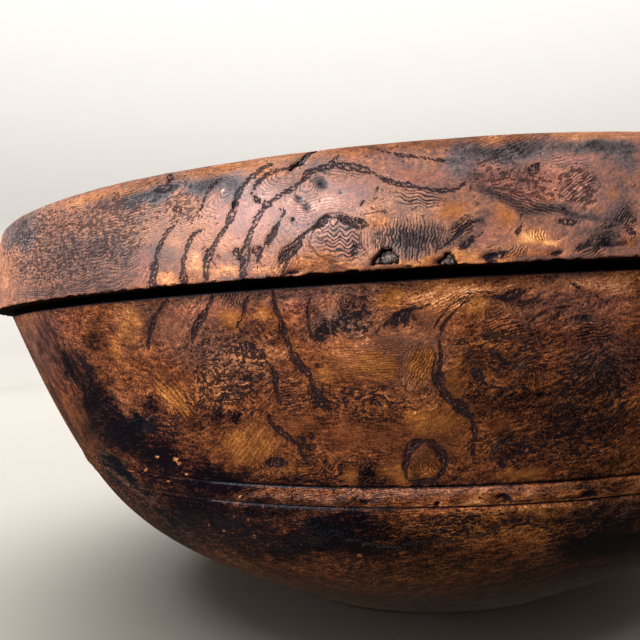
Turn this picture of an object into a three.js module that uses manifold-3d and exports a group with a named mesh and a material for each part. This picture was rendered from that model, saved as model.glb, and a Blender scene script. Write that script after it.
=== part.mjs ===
// A wide burl wood bowl, turned from one block: a thick collar stands out round the rim, a narrow
// quirk is cut under it, the body curves in to a small flat base, and a low bead between two
// scribed lines runs round the lower body. Three small inclusions sit in pockets of the collar.
// Millimetres, +z up, standing on z = 0 and turned about the z axis. Azimuths are in degrees from
// the -y side, positive towards +x.
import * as THREE from 'three';
import { mergeVertices } from 'three/addons/utils/BufferGeometryUtils.js';
import Module from 'manifold-3d';

const wasm = await Module();
wasm.setup();

// Driving dimensions of the turned profile
const height = 169;
const baseRadius = 78;
const collarRadius = 204;
const collarHeight = 33.3;
const collarLean = 3.3;
const collarCrown = 0.9;
const collarFootRound = 1.8;
const collarOverhang = 7;
const lipOuterRound = 5;
const lipInnerRound = 7;
const rimThickness = 17;
const quirkHeight = 2.6;
const quirkDepth = 3.4;
const baseEdgeRound = 2.5;
const wallThickness = 13;
const floorThickness = 15;

// Shape of the body's curve: how far it runs on in its direction at the base and at the shoulder
const footReach = 78;
const footRise = 28;
const shoulderReach = 103;
const shoulderLean = 20.3;

// Shape of the hollow: how far under the shoulder it leaves the body's curve, and its rise from the floor
const neckDrop = 28;
const dishRise = 10;

// Bead and the two scribed lines that bound it
const beadHeight = 70.7;
const beadWidth = 7.1;
const beadCrown = 0.55;
const scribeWidth = 1.3;
const scribeDepth = 0.9;

// Inclusions in the collar, with the gap that each keeps to its pocket: the foot is above the
// collar's lower edge, the drop is below the lip, and the inset is how far a face lies back
const seatGap = 0.3;
const bark = { azimuth: -1.6, foot: 1.5, width: 7.6, height: 4, depth: 5, inset: 0.4 };
const knot = { azimuth: 2.45, foot: 0.25, width: 3.4, height: 2.3, depth: 3.5, inset: 0.5 };
const crack = { azimuth: -7.7, drop: 2.6, length: 12.5, width: 2.4, depth: 5.5, inset: 0.5 };
const crackSlope = 41;
const crackOpening = 0.9;

// Facets
const turnSteps = 96;
const bodySteps = 6;
const roundSteps = 3;

const point = (r, z) => new THREE.Vector2(r, z);
const direction = (degrees) => {
  const angle = THREE.MathUtils.degToRad(degrees);
  return point(Math.cos(angle), Math.sin(angle));
};
const onward = (start, way, distance) => start.clone().addScaledVector(way, distance);

// Points of a curve without its first one, so that stretches join end to end
const stretch = (curve, steps) => curve.getPoints(steps).slice(1);
const arc = (centre, radius, from, to, steps = roundSteps) => {
  const [start, end] = [from, to].map(THREE.MathUtils.degToRad);
  return new THREE.EllipseCurve(centre.x, centre.y, radius, radius, start, end, to < from)
    .getPoints(steps);
};

// The parameter at which a rising curve passes a height
function parameterAt(pointAt, z) {
  let [low, high] = [0, 1];
  for (let pass = 0; pass < 50; pass += 1) {
    const middle = (low + high) / 2;
    if (pointAt(middle).y < z) low = middle;
    else high = middle;
  }
  return low;
}

// Outside of the body, from the base up to the shoulder under the collar
const collarFootZ = height - collarHeight;
const shoulder = point(collarRadius - collarOverhang, collarFootZ - quirkHeight);
const baseEdge = point(baseRadius, 0);
const bodyCurve = new THREE.CubicBezierCurve(
  baseEdge,
  onward(baseEdge, direction(footRise), footReach),
  onward(shoulder, direction(90 - shoulderLean), -shoulderReach),
  shoulder,
);
const bodyAt = (t) => bodyCurve.getPoint(t);
const inwardAt = (t) => {
  const along = bodyCurve.getTangent(t);
  return point(-along.y, along.x);
};

function bodyStretch(from, to, steps) {
  const points = [];
  for (let i = 1; i <= steps; i += 1) points.push(bodyAt(from + ((to - from) * i) / steps));
  return points;
}

// A V cut square to the body's curve, and the parameters of its two edges
function scribe(z) {
  const t = parameterAt(bodyAt, z);
  const along = bodyCurve.getTangent(t);
  const edge = (side) => parameterAt(bodyAt, bodyAt(t).y + (side * along.y * scribeWidth) / 2);
  return { low: edge(-1), high: edge(1), bottom: onward(bodyAt(t), inwardAt(t), scribeDepth) };
}

function bead(from, to) {
  const steps = 4;
  const points = [];
  for (let i = 1; i < steps; i += 1) {
    const t = from + ((to - from) * i) / steps;
    points.push(onward(bodyAt(t), inwardAt(t), -beadCrown * Math.sin((Math.PI * i) / steps)));
  }
  return [...points, bodyAt(to)];
}

// The rounded corner between the base and the body
function baseCorner() {
  const top = parameterAt(bodyAt, baseEdgeRound * Math.sin(THREE.MathUtils.degToRad(footRise)));
  const corner = new THREE.QuadraticBezierCurve(point(baseRadius - baseEdgeRound, 0), baseEdge, bodyAt(top));
  return { points: corner.getPoints(roundSteps), top };
}

function outside() {
  const corner = baseCorner();
  const lower = scribe(beadHeight - beadWidth / 2);
  const upper = scribe(beadHeight + beadWidth / 2);
  return [
    ...corner.points,
    ...bodyStretch(corner.top, lower.low, bodySteps),
    lower.bottom,
    bodyAt(lower.high),
    ...bead(lower.high, upper.low),
    upper.bottom,
    bodyAt(upper.high),
    ...bodyStretch(upper.high, 1, bodySteps),
  ];
}

// The quirk is a narrow round-bottomed cut between the body's shoulder and the collar's underside
function quirk() {
  const radius = quirkHeight / 2;
  const centre = point(shoulder.x - quirkDepth + radius, shoulder.y + radius);
  return arc(centre, radius, 270, 90);
}

// The collar's face leans in towards the top and is slightly crowned
const lipFace = point(collarRadius - collarLean, height - lipOuterRound);
function collar() {
  const footCentre = point(collarRadius - collarFootRound, collarFootZ + collarFootRound);
  const faceFoot = point(collarRadius, footCentre.y);
  const middle = faceFoot.clone().lerp(lipFace, 0.5);
  const face = new THREE.QuadraticBezierCurve(faceFoot, onward(middle, point(1, 0), 2 * collarCrown), lipFace);
  const lipCentre = point(lipFace.x - lipOuterRound, lipFace.y);
  return [
    ...arc(footCentre, collarFootRound, -90, 0),
    ...stretch(face, 4),
    ...arc(lipCentre, lipOuterRound, 0, 90).slice(1),
  ];
}

// The hollow follows the body at the wall's thickness, straightens into the rim above the neck, and
// runs out into a shallow dish over the floor
function hollow() {
  const wallAt = (t) => onward(bodyAt(t), inwardAt(t), wallThickness);
  const mouth = point(lipFace.x - rimThickness, height - lipInnerRound);
  const lipCentre = point(mouth.x + lipInnerRound, mouth.y);
  const neck = parameterAt(bodyAt, shoulder.y - neckDrop);
  const dish = parameterAt(wallAt, floorThickness + dishRise);
  const neckPoint = wallAt(neck);
  const reach = mouth.distanceTo(neckPoint) / 3;
  const rise = new THREE.CubicBezierCurve(
    mouth,
    onward(mouth, point(0, -1), reach),
    onward(neckPoint, bodyCurve.getTangent(neck), reach),
    neckPoint,
  );
  const wall = [];
  for (let i = 1; i <= bodySteps; i += 1) wall.push(wallAt(neck + ((dish - neck) * i) / bodySteps));
  const dishEdge = wall.at(-1);
  const fall = bodyCurve.getTangent(dish);
  const corner = onward(dishEdge, fall, -dishRise / fall.y);
  const floor = new THREE.QuadraticBezierCurve(dishEdge, corner, point(0, floorThickness));
  return [
    ...arc(lipCentre, lipInnerRound, 90, 180),
    ...stretch(rise, 3),
    ...wall,
    ...stretch(floor, 5),
  ];
}

// Booleans work on closed solids with merged corners, without the flat facets that lie on the axis
function solidOf(geometry) {
  const bare = new THREE.BufferGeometry();
  bare.setAttribute('position', geometry.getAttribute('position'));
  bare.setIndex(geometry.getIndex());
  const merged = mergeVertices(bare);
  const corners = merged.getIndex().array;
  const kept = [];
  for (let i = 0; i < corners.length; i += 3) {
    const [a, b, c] = corners.slice(i, i + 3);
    if (a !== b && b !== c && c !== a) kept.push(a, b, c);
  }
  const triVerts = new Uint32Array(kept);
  const vertProperties = merged.getAttribute('position').array;
  return new wasm.Manifold(new wasm.Mesh({ numProp: 3, vertProperties, triVerts }));
}

function geometryOf(solid) {
  const mesh = solid.getMesh();
  const geometry = new THREE.BufferGeometry();
  geometry.setAttribute('position', new THREE.BufferAttribute(mesh.vertProperties, 3));
  geometry.setIndex(new THREE.BufferAttribute(mesh.triVerts, 1));
  geometry.computeVertexNormals();
  return geometry;
}

function turned(points) {
  return solidOf(new THREE.LatheGeometry(points, turnSteps).rotateX(Math.PI / 2));
}

// The collar's own surface moved in by an inset: what an inclusion's face is cut to
function collarCore(inset) {
  const face = collar().map((p) => point(p.x - inset, p.y));
  return turned([point(0, collarFootZ), ...face, point(0, height)]);
}

// An outline, x along the rim and y up, driven radially into the collar to a depth
function driven(outline, { azimuth, z, depth }) {
  const reach = 6;
  const geometry = new THREE.ExtrudeGeometry(outline, { depth: depth + reach, bevelEnabled: false, curveSegments: 5 });
  geometry.rotateX(Math.PI / 2);
  geometry.translate(0, depth - collarRadius, z);
  geometry.rotateZ(THREE.MathUtils.degToRad(azimuth));
  return solidOf(geometry);
}

// A lopsided arch on a flat foot, wider and taller by its growth on every side
function archOutline({ width, height: rise }, growth) {
  const half = width / 2 + growth;
  const top = rise + growth;
  const outline = new THREE.Shape();
  outline.moveTo(half, -growth);
  outline.bezierCurveTo(half, top * 0.75, half * 0.4, top, 0, top);
  outline.bezierCurveTo(-half * 0.35, top, -half * 0.3, top * 0.6, -half * 0.55, top * 0.52);
  outline.quadraticCurveTo(-half * 0.9, top * 0.4, -half, -growth);
  outline.closePath();
  return outline;
}

// A slanting leaf with pointed ends, cut off on its upper side where a crack is left open
function crackOutline(shorter, lowerSide, upperSide) {
  const half = crack.length / 2 - shorter;
  const outline = new THREE.Shape();
  outline.moveTo(-half, 0);
  outline.bezierCurveTo(-half * 0.5, -lowerSide * 1.3, half * 0.4, -lowerSide * 1.3, half, 0);
  outline.bezierCurveTo(half * 0.4, upperSide * 1.3, -half * 0.5, upperSide * 1.3, -half, 0);
  outline.closePath();
  return outline;
}

function sloped(outline) {
  const turn = THREE.MathUtils.degToRad(crackSlope);
  const points = outline.getPoints(6).slice(0, -1).map((p) => p.rotateAround(point(0, 0), turn));
  return new THREE.Shape(points);
}

const barkPlace = { azimuth: bark.azimuth, z: collarFootZ + bark.foot };
const knotPlace = { azimuth: knot.azimuth, z: collarFootZ + knot.foot };
const crackPlace = { azimuth: crack.azimuth, z: height - crack.drop };

function barkInclusion() {
  const plug = driven(archOutline(bark, 0), { ...barkPlace, depth: bark.depth });
  return plug.intersect(collarCore(bark.inset));
}

function knotInclusion() {
  const plug = driven(archOutline(knot, 0), { ...knotPlace, depth: knot.depth });
  return plug.intersect(collarCore(knot.inset));
}

function crackFill() {
  const side = crack.width / 2;
  const strip = sloped(crackOutline(2 * seatGap, side - seatGap, side - crackOpening));
  return driven(strip, { ...crackPlace, depth: crack.depth }).intersect(collarCore(crack.inset));
}

function bowl() {
  const side = crack.width / 2;
  const pockets = [
    driven(archOutline(bark, seatGap), { ...barkPlace, depth: bark.depth + seatGap }),
    driven(archOutline(knot, seatGap), { ...knotPlace, depth: knot.depth + seatGap }),
    driven(sloped(crackOutline(0, side, side)), { ...crackPlace, depth: crack.depth + seatGap }),
  ];
  const profile = [point(0, 0), ...outside(), ...quirk(), ...collar(), ...hollow()];
  return pockets.reduce((block, pocket) => block.subtract(pocket), turned(profile));
}

const materials = {
  burlWood: new THREE.MeshStandardMaterial({ color: 0x8a4f2a, roughness: 0.48, metalness: 0 }),
  bark: new THREE.MeshStandardMaterial({ color: 0x8d8078, roughness: 0.9, metalness: 0 }),
  crackFiller: new THREE.MeshStandardMaterial({ color: 0x5f6058, roughness: 0.85, metalness: 0 }),
};

const pieces = [
  ['bowl', bowl(), materials.burlWood],
  ['rim_bark_inclusion', barkInclusion(), materials.bark],
  ['rim_knot_inclusion', knotInclusion(), materials.bark],
  ['rim_crack_fill', crackFill(), materials.crackFiller],
];

const group = new THREE.Group();
for (const [name, solid, material] of pieces) {
  const mesh = new THREE.Mesh(geometryOf(solid), material);
  mesh.name = name;
  group.add(mesh);
}

export default group;
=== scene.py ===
"""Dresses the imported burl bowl: one dense turned skin with the burl's figure, its worn edges and its
pockets, three crumbly inclusions in the collar, and a plain studio round it."""

import itertools
import math

import bpy
import numpy as np
from mathutils import Matrix


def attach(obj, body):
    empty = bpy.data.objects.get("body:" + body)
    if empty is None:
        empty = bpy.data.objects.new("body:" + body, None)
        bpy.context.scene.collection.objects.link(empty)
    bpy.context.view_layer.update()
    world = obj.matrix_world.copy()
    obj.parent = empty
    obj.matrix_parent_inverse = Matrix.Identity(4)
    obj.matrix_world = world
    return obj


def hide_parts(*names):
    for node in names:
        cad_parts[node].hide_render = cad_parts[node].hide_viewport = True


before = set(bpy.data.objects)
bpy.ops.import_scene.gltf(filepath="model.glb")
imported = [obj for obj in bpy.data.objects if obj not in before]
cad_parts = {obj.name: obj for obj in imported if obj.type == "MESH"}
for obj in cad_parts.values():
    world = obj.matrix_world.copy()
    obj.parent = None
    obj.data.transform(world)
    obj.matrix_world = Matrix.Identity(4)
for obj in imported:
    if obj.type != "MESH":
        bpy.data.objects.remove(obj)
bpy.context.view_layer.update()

# Lengths are in millimetres where nothing else is said, and become metres where a mesh or the camera is
# made. Azimuths are in degrees from the -y side, positive towards +x
MM = 0.001

# The photograph's camera, fitted to the rim, the collar and the scribed lines
PHOTO_SIDE = 640
FOCAL_PIXELS = 700.0
SENSOR = 36.0
CLIP_METRES = 0.01, 50
EYE = np.array([0.0, -377.6, 120.9])
LOOK_YAW, LOOK_PITCH, LOOK_ROLL = -7.76, 0.93, -2.81
# Rows of pixels between which the photograph shows the bowl, and where its figure fades out past them
VIEW_TOP, VIEW_BOTTOM = 60, 610
VIEW_FADE = 5, 45
# It also fades out where the skin turns from the eye, by the cosine of the angle between them
FACING_FADE = 0.02, 0.12
# Columns of pixels: the scribes are filled left of the first two, the bead is worn right of the next
# two, and the collar's lower edge is worn left of the last
SCRIBES_FILLED = 235, 185
BEAD_WORN = 225, 300
FOOT_WORN = 540

# The turned profile, as in the part's source
HEIGHT = 169.0
BASE_RADIUS = 78.0
COLLAR_RADIUS = 204.0
COLLAR_HEIGHT = 33.3
COLLAR_LEAN = 3.3
COLLAR_CROWN = 0.9
COLLAR_FOOT_ROUND = 0.9
COLLAR_OVERHANG = 7.0
LIP_OUTER_ROUND = 5.0
LIP_INNER_ROUND = 7.0
RIM_THICKNESS = 17.0
QUIRK_HEIGHT = 2.6
QUIRK_DEPTH = 3.4
BASE_EDGE_ROUND = 2.5
WALL_THICKNESS = 13.0
FLOOR_THICKNESS = 15.0
FOOT_REACH, FOOT_RISE = 78.0, 28.0
SHOULDER_REACH, SHOULDER_LEAN = 103.0, 20.3
NECK_DROP = 28.0
DISH_RISE = 10.0
# The grooves are a little lower and narrower than the solid's, so that their dark upper flanks sit on
# the photograph's lines
BEAD_HEIGHT, BEAD_WIDTH, BEAD_CROWN = 70.3, 7.1, 0.55
SCRIBE_WIDTH, SCRIBE_DEPTH, SCRIBE_POWER = 1.0, 0.9, 0.8
# The collar's lower edge is crisp in the photograph, where the solid's is rounded away
COLLAR_FOOT = HEIGHT - COLLAR_HEIGHT
FOOT_DROP = 0.6
SEEN_FOOT = COLLAR_FOOT - FOOT_DROP
SEEN_QUIRK_HEIGHT = QUIRK_HEIGHT - FOOT_DROP
UNDERSIDE_WIDTH = 5.0

# The inclusions and their pockets are as in the part's source, but the photograph shows a little less
# of the bark and a narrower crack
SEAT_GAP = 0.3
BARK = {"azimuth": -1.9, "z": COLLAR_FOOT + 1.5, "width": 6.0, "height": 3.1, "depth": 5.0, "inset": 0.4}
KNOT = {"azimuth": 2.45, "z": COLLAR_FOOT + 0.25, "width": 3.4, "height": 2.3, "depth": 3.5, "inset": 0.5}
CRACK = {"azimuth": -7.7, "z": HEIGHT - 2.6, "length": 12.5, "depth": 5.5, "inset": 0.5}
CRACK_SLOPE = 41.0
CRACK_SIDES = 1.15, 0.7
# Along the crack from its lower end, and the share of its reach below and above its line there
CRACK_PLACES = [-1.0, -0.6, -0.3, 0.0, 0.25, 0.4, 0.7, 1.0]
CRACK_BELOW = [0.05, 0.25, 0.75, 1.0, 0.85, 0.3, 0.5, 0.4]
CRACK_ABOVE = [0.05, 0.35, 0.45, 0.5, 0.5, 0.6, 1.0, 0.9]
# The wax fills this stretch of the crack, and ends this far above its middle, where the lip rounds away
WAX_SPAN = -0.36, 0.36
WAX_SIDES = CRACK_SIDES[0] - 0.05, -0.5
WAX_TOP = 1.0
# Rings of points from the middle of a lump's front out to its edge
FRONT_RINGS = 22

# Spacing of the mesh's columns at the rim, from each azimuth on
COLUMN_SPACING = [(-180, 2.4), (-95, 1.6), (-30, 0.8), (-10.4, 0.5), (4, 0.8), (14, 1.4), (36, 2.4)]

# Numbers that scatter the corners of the noise's lattice
CORNER_PRIMES = 73856093, 19349663, 83492791
SEED_PRIME, FIRST_PRIME, SECOND_PRIME = 2654435761, 2246822519, 3266489917
WORD = 2**32


def smoothstep(low, high, x):
    t = np.clip((x - low) / (high - low), 0, 1)
    return t * t * (3 - 2 * t)


def lattice_noise(points, size, seed):
    """Smooth noise from 0 to 1 with lumps of about that size."""
    scaled = points / size
    cell = np.floor(scaled)
    part = scaled - cell
    part = part * part * (3 - 2 * part)
    cell = cell.astype(np.int64)
    total = np.zeros(len(points))
    for corner in itertools.product((0, 1), repeat=3):
        key = (cell + corner) * CORNER_PRIMES
        mixed = (key[:, 0] ^ key[:, 1] ^ key[:, 2] ^ (seed * SEED_PRIME)) & (WORD - 1)
        mixed = ((mixed ^ (mixed >> 15)) * FIRST_PRIME) & (WORD - 1)
        mixed = ((mixed ^ (mixed >> 13)) * SECOND_PRIME) & (WORD - 1)
        value = (mixed ^ (mixed >> 16)) / WORD
        total += value * np.prod(np.where(corner, part, 1 - part), axis=1)
    return total


def wobble(points, size, seed):
    """Two noises about 0, to shift places by."""
    return np.column_stack([lattice_noise(points, size, seed + i) for i in (0, 1)]) - 0.5


# Profile

def way(degrees):
    return np.array([math.cos(math.radians(degrees)), math.sin(math.radians(degrees))])


def bezier(t, *controls):
    t = np.asarray(t, float).reshape(-1, 1)
    points = [np.asarray(c, float).reshape(1, 2) for c in controls]
    while len(points) > 1:
        points = [a * (1 - t) + b * t for a, b in zip(points, points[1:])]
    return points[0]


def arc(centre, radius, start, end):
    angles = np.radians(np.linspace(start, end, 40))
    return np.column_stack([centre[0] + radius * np.cos(angles), centre[1] + radius * np.sin(angles)])


def spaced(points, step):
    """The same line with its points about a step apart."""
    gaps = np.hypot(*np.diff(points, axis=0).T)
    along = np.concatenate([[0], np.cumsum(gaps)])
    places = np.linspace(0, along[-1], max(1, round(along[-1] / step)) + 1)
    return np.column_stack([np.interp(places, along, points[:, i]) for i in (0, 1)])


BASE_EDGE = np.array([BASE_RADIUS, 0.0])
SHOULDER = np.array([COLLAR_RADIUS - COLLAR_OVERHANG, COLLAR_FOOT - QUIRK_HEIGHT])
BODY_CONTROLS = (
    BASE_EDGE,
    BASE_EDGE + FOOT_REACH * way(FOOT_RISE),
    SHOULDER - SHOULDER_REACH * way(90 - SHOULDER_LEAN),
    SHOULDER,
)


def body_at(t):
    return bezier(t, *BODY_CONTROLS)


def body_heading(t):
    run = bezier(t, *np.diff(BODY_CONTROLS, axis=0))
    return run / np.linalg.norm(run, axis=1, keepdims=True)


def body_offset(t, inward):
    heading = body_heading(t)
    return body_at(t) + np.reshape(inward, (-1, 1)) * np.column_stack([-heading[:, 1], heading[:, 0]])


def body_parameter(z, inward=0.0):
    t = np.linspace(0, 1, 4001)
    return float(np.interp(z, body_offset(t, inward)[:, 1], t))


def scribe_span(z):
    rise = body_heading(body_parameter(z))[0, 1] * SCRIBE_WIDTH / 2
    return body_parameter(z - rise), body_parameter(z + rise)


def scribe_cut(span):
    t = np.linspace(*span, 13)
    return body_offset(t, SCRIBE_DEPTH * (1 - np.abs(np.linspace(-1, 1, 13))) ** SCRIBE_POWER)


def profile():
    """The closed section as named stretches, from the base's centre round to the floor's centre, each
    with the spacing of the mesh's rows on it."""
    corner_top = body_parameter(BASE_EDGE_ROUND * math.sin(math.radians(FOOT_RISE)))
    corner_start = np.array([BASE_RADIUS - BASE_EDGE_ROUND, 0.0])
    low, high = (scribe_span(BEAD_HEIGHT + side * BEAD_WIDTH / 2) for side in (-1, 1))
    bead = body_offset(np.linspace(low[1], high[0], 40), -BEAD_CROWN * np.sin(np.linspace(0, math.pi, 40)))
    quirk_round = SEEN_QUIRK_HEIGHT / 2
    quirk_centre = SHOULDER + np.array([quirk_round - QUIRK_DEPTH, quirk_round])
    foot_centre = np.array([COLLAR_RADIUS - COLLAR_FOOT_ROUND, SEEN_FOOT + COLLAR_FOOT_ROUND])
    face_foot = np.array([COLLAR_RADIUS, foot_centre[1]])
    lip_face = np.array([COLLAR_RADIUS - COLLAR_LEAN, HEIGHT - LIP_OUTER_ROUND])
    face_middle = (face_foot + lip_face) / 2 + np.array([2 * COLLAR_CROWN, 0])
    lip_centre = lip_face - np.array([LIP_OUTER_ROUND, 0])
    mouth = np.array([lip_face[0] - RIM_THICKNESS, HEIGHT - LIP_INNER_ROUND])
    mouth_centre = mouth + np.array([LIP_INNER_ROUND, 0])
    neck = body_parameter(SHOULDER[1] - NECK_DROP)
    dish = body_parameter(FLOOR_THICKNESS + DISH_RISE, WALL_THICKNESS)
    neck_point = body_offset(neck, WALL_THICKNESS)[0]
    dish_edge = body_offset(dish, WALL_THICKNESS)[0]
    reach = np.linalg.norm(mouth - neck_point) / 3
    fall = body_heading(dish)[0]
    curve = np.linspace(0, 1, 200)
    quirk = np.vstack([[SHOULDER], arc(quirk_centre, quirk_round, 270, 90),
                       [[foot_centre[0] - UNDERSIDE_WIDTH, SEEN_FOOT]]])
    return [
        ("base", np.array([[0, 0], corner_start]), 4.0),
        ("base_corner", bezier(curve, corner_start, BASE_EDGE, body_at(corner_top)[0]), 0.7),
        ("foot", body_at(np.linspace(corner_top, low[0], 200)), 1.5),
        ("scribe_low", scribe_cut(low), 0.33),
        ("bead", bead, 0.6),
        ("scribe_high", scribe_cut(high), 0.33),
        ("side", body_at(np.linspace(high[1], 1, 400)), 0.9),
        ("quirk", quirk, 0.8),
        ("underside", np.array([quirk[-1], [foot_centre[0], SEEN_FOOT]]), 1.0),
        ("collar_foot", arc(foot_centre, COLLAR_FOOT_ROUND, -90, 0), 0.45),
        ("face", bezier(curve, face_foot, face_middle, lip_face), 0.5),
        ("lip", arc(lip_centre, LIP_OUTER_ROUND, 0, 90), 0.7),
        ("crest", np.array([lip_centre + [0, LIP_OUTER_ROUND], mouth_centre + [0, LIP_INNER_ROUND]]), 1.2),
        ("mouth", arc(mouth_centre, LIP_INNER_ROUND, 90, 180), 1.2),
        ("rise", bezier(curve, mouth, mouth - [0, reach],
                        neck_point + reach * body_heading(neck)[0], neck_point), 2.5),
        ("wall", body_offset(np.linspace(neck, dish, 200), WALL_THICKNESS), 3.0),
        ("dish", bezier(curve, dish_edge, dish_edge - fall * DISH_RISE / fall[1],
                        [0, FLOOR_THICKNESS]), 4.0),
    ]


def profile_rows():
    """Points, lengths along the line, outward normals and the span of each stretch."""
    points, spans, start = [], {}, 0.0
    for name, line, step in profile():
        line = spaced(line, step)
        length = float(np.hypot(*np.diff(line, axis=0).T).sum())
        spans[name] = (start, start + length)
        start += length
        points.extend(line if not points else line[1:])
    points = np.array(points)
    gaps = np.diff(points, axis=0)
    along = np.concatenate([[0], np.cumsum(np.hypot(*gaps.T))])
    gaps /= np.hypot(*gaps.T)[:, None]
    heading = np.vstack([gaps[:1], gaps[:-1] + gaps[1:], gaps[-1:]])
    heading /= np.hypot(*heading.T)[:, None]
    return points, along, np.column_stack([heading[:, 1], -heading[:, 0]]), spans


def column_azimuths():
    marks = COLUMN_SPACING + [(180, 0)]
    parts = []
    for (start, spacing), (end, _) in zip(marks, marks[1:]):
        count = round(math.radians(end - start) * COLLAR_RADIUS / spacing)
        parts.append(np.linspace(start, end, count, endpoint=False))
    return np.radians(np.concatenate(parts))


# Camera

def camera_axes():
    yaw, pitch, roll = np.radians([LOOK_YAW, LOOK_PITCH, LOOK_ROLL])
    ahead = np.array([math.sin(yaw) * math.cos(pitch), math.cos(yaw) * math.cos(pitch), math.sin(pitch)])
    right = np.array([math.cos(yaw), -math.sin(yaw), 0.0])
    up = np.cross(right, ahead)
    c, s = math.cos(roll), math.sin(roll)
    return c * right + s * up, c * up - s * right, ahead


def photo_places(points):
    """Pixel places of points in the photograph, and how many pixels a millimetre takes there."""
    right, up, ahead = camera_axes()
    away = points - EYE
    scale = FOCAL_PIXELS / np.maximum(away @ ahead, 1)
    half = PHOTO_SIDE / 2
    return np.column_stack([half + scale * (away @ right), half - scale * (away @ up)]), scale


def set_in_scene(made, columns, place):
    """Turns an object to three axes and sets it at a place, in metres."""
    bpy.context.scene.collection.objects.link(made)
    turn = Matrix(np.column_stack(columns).tolist()).to_4x4()
    turn.translation = place
    made.matrix_world = turn
    return made


def make_camera():
    right, up, ahead = camera_axes()
    data = bpy.data.cameras.new("photo_camera")
    data.sensor_width = SENSOR
    data.lens = SENSOR * FOCAL_PIXELS / PHOTO_SIDE
    data.clip_start, data.clip_end = CLIP_METRES
    camera = bpy.data.objects.new("photo_camera", data)
    bpy.context.scene.camera = set_in_scene(camera, [right, up, -ahead], EYE * MM)


# Figure of the burl, with its places and sizes in the photograph's pixels: x, y, half width, half
# height, and its turn anticlockwise in degrees, where it has one

def table(text):
    """Rows of numbers, parted by commas."""
    return [tuple(map(float, row.split())) for row in text.split(",")]


def changes(text):
    """Lines of a change and the patches that have it."""
    pairs = [line.split(":") for line in text.strip().splitlines()]
    return [(float(change), table(patches)) for change, patches in pairs]


GOLDEN = table("""
    165 279 17 7 8, 192 266 12 16 10, 222 271 22 10 8, 262 268 12 8 5, 330 262 32 7 5, 420 263 24 5,
    462 257 20 6 3, 500 262 22 4 3, 132 325 18 24 10, 116 352 8 20 -30, 172 395 34 13 -52,
    248 448 46 20 8, 292 470 22 14 5, 370 365 36 17, 420 366 16 24 -35, 352 476 10 13, 396 470 18 14,
    454 384 10 36 -8, 520 475 34 6 3, 446 420 22 16, 418 420 22 12, 425 468 12 11, 480 308 16 12 30,
    330 372 14 14, 230 318 10 16 20, 258 312 12 10, 390 296 16 12, 30 302 12 5 5
""")
BRIGHT = table("""
    534 239 20 12 12, 550 244 14 6, 240 440 22 12 12, 178 402 20 5 -50
""")
# Rose patches: the wood's colour, and on the collar partly painted sheen, the window's pale reflection
ROSE_AND_SHEEN = table("""
    352 192 36 22, 250 218 42 24 20, 300 214 26 18, 415 173 32 12 -6, 452 211 22 14, 502 224 20 20,
    611 195 9 8, 140 262 12 24 5, 200 312 44 13 5, 300 300 30 10 3, 575 160 22 6, 632 236 10 12,
    590 220 30 8 -5, 350 150 36 8, 560 300 26 12, 615 300 30 14, 480 240 18 14, 600 205 16 8 -10,
    60 330 20 30 -50
""")
SLATE = table("""
    462 160 20 24, 506 152 60 13 -3, 610 148 40 11 -3, 628 156 18 18, 202 184 36 16 14, 150 196 40 12 14,
    232 190 20 12 20, 18 232 22 26, 500 150 14 8, 584 318 12 4, 245 280 40 3 4
""")
UMBER = table("""
    490 190 40 9 -30, 565 212 48 8 -8, 520 175 30 14 -10, 590 150 50 20, 610 235 34 12 -8, 70 236 66 42 8,
    120 215 30 20 10, 405 240 40 18, 235 372 50 38, 245 348 13 9, 330 331 24 12, 356 312 20 28,
    408 317 22 11 12, 500 352 60 26, 508 450 24 22, 595 400 54 60, 378 414 48 18, 92 334 14 18 -50,
    316 410 22 14 -50, 305 452 9 36 -14, 75 370 14 42 36, 100 390 18 40 40, 205 424 34 10, 590 330 22 12,
    540 300 30 8, 150 330 10 12, 560 440 50 18, 480 520 60 18 4, 590 530 50 30 4, 420 545 50 16,
    372 476 8 14, 540 380 40 24
""")
STAIN = table("""
    104 408 18 30 45, 128 436 26 34 45, 162 462 34 32 40, 190 500 56 30 -35, 350 520 30 12,
    210 482 42 10 -8, 225 415 24 8 -10, 150 405 16 12 -40
""")
BLUE_BLACK = table("""
    125 474 36 7 -42, 142 424 14 8 -20, 330 530 26 9 -10, 170 520 20 6 -35
""")
# A lighter brown strip along the lower body's edge: painted rim light, the light grazing the silhouette
SILHOUETTE_RIM_LIGHT = table("""
    150 514 78 6 -42, 62 415 50 7 -62
""")
SPECKS = table("""
    145 470 2 1.6, 157 457 2.4 2, 175 459 2.8 2.4, 178 463 2.4 2, 253 537 2 2, 224 531 1.7 1.5,
    360 556 2.4 1.8, 415 414 1 1, 209 526 1.8 1.5, 350 504 2 1, 222 191 1 1.6, 186 474 1.2 1,
    196 481 1.4 1, 168 481 1.2 1, 240 497 1.5 1, 262 506 1.3 1, 232 516 1.2 1, 248 521 1.3 1,
    286 532 1.2 1, 198 518 1.2 1.2, 300 514 1.2 1, 319 521 1.3 1, 341 511 1.2 1, 268 545 1.4 1
""")
LIP = table("""
    90 197 36 5 16, 140 187 44 7 15, 215 170 46 9 12, 290 158 46 9 9, 362 148 50 9 7, 424 143 44 7 4,
    500 138 50 5 2, 575 135 60 5
""")
ORANGE = table("""
    418 172 30 12 -6, 452 211 22 14, 270 168 30 8 14, 504 216 18 18, 378 218 14 10 -20, 612 195 8 8,
    300 262 40 9 5, 633 243 10 6, 598 206 8 5, 545 196 10 5 -20
""")
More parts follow.
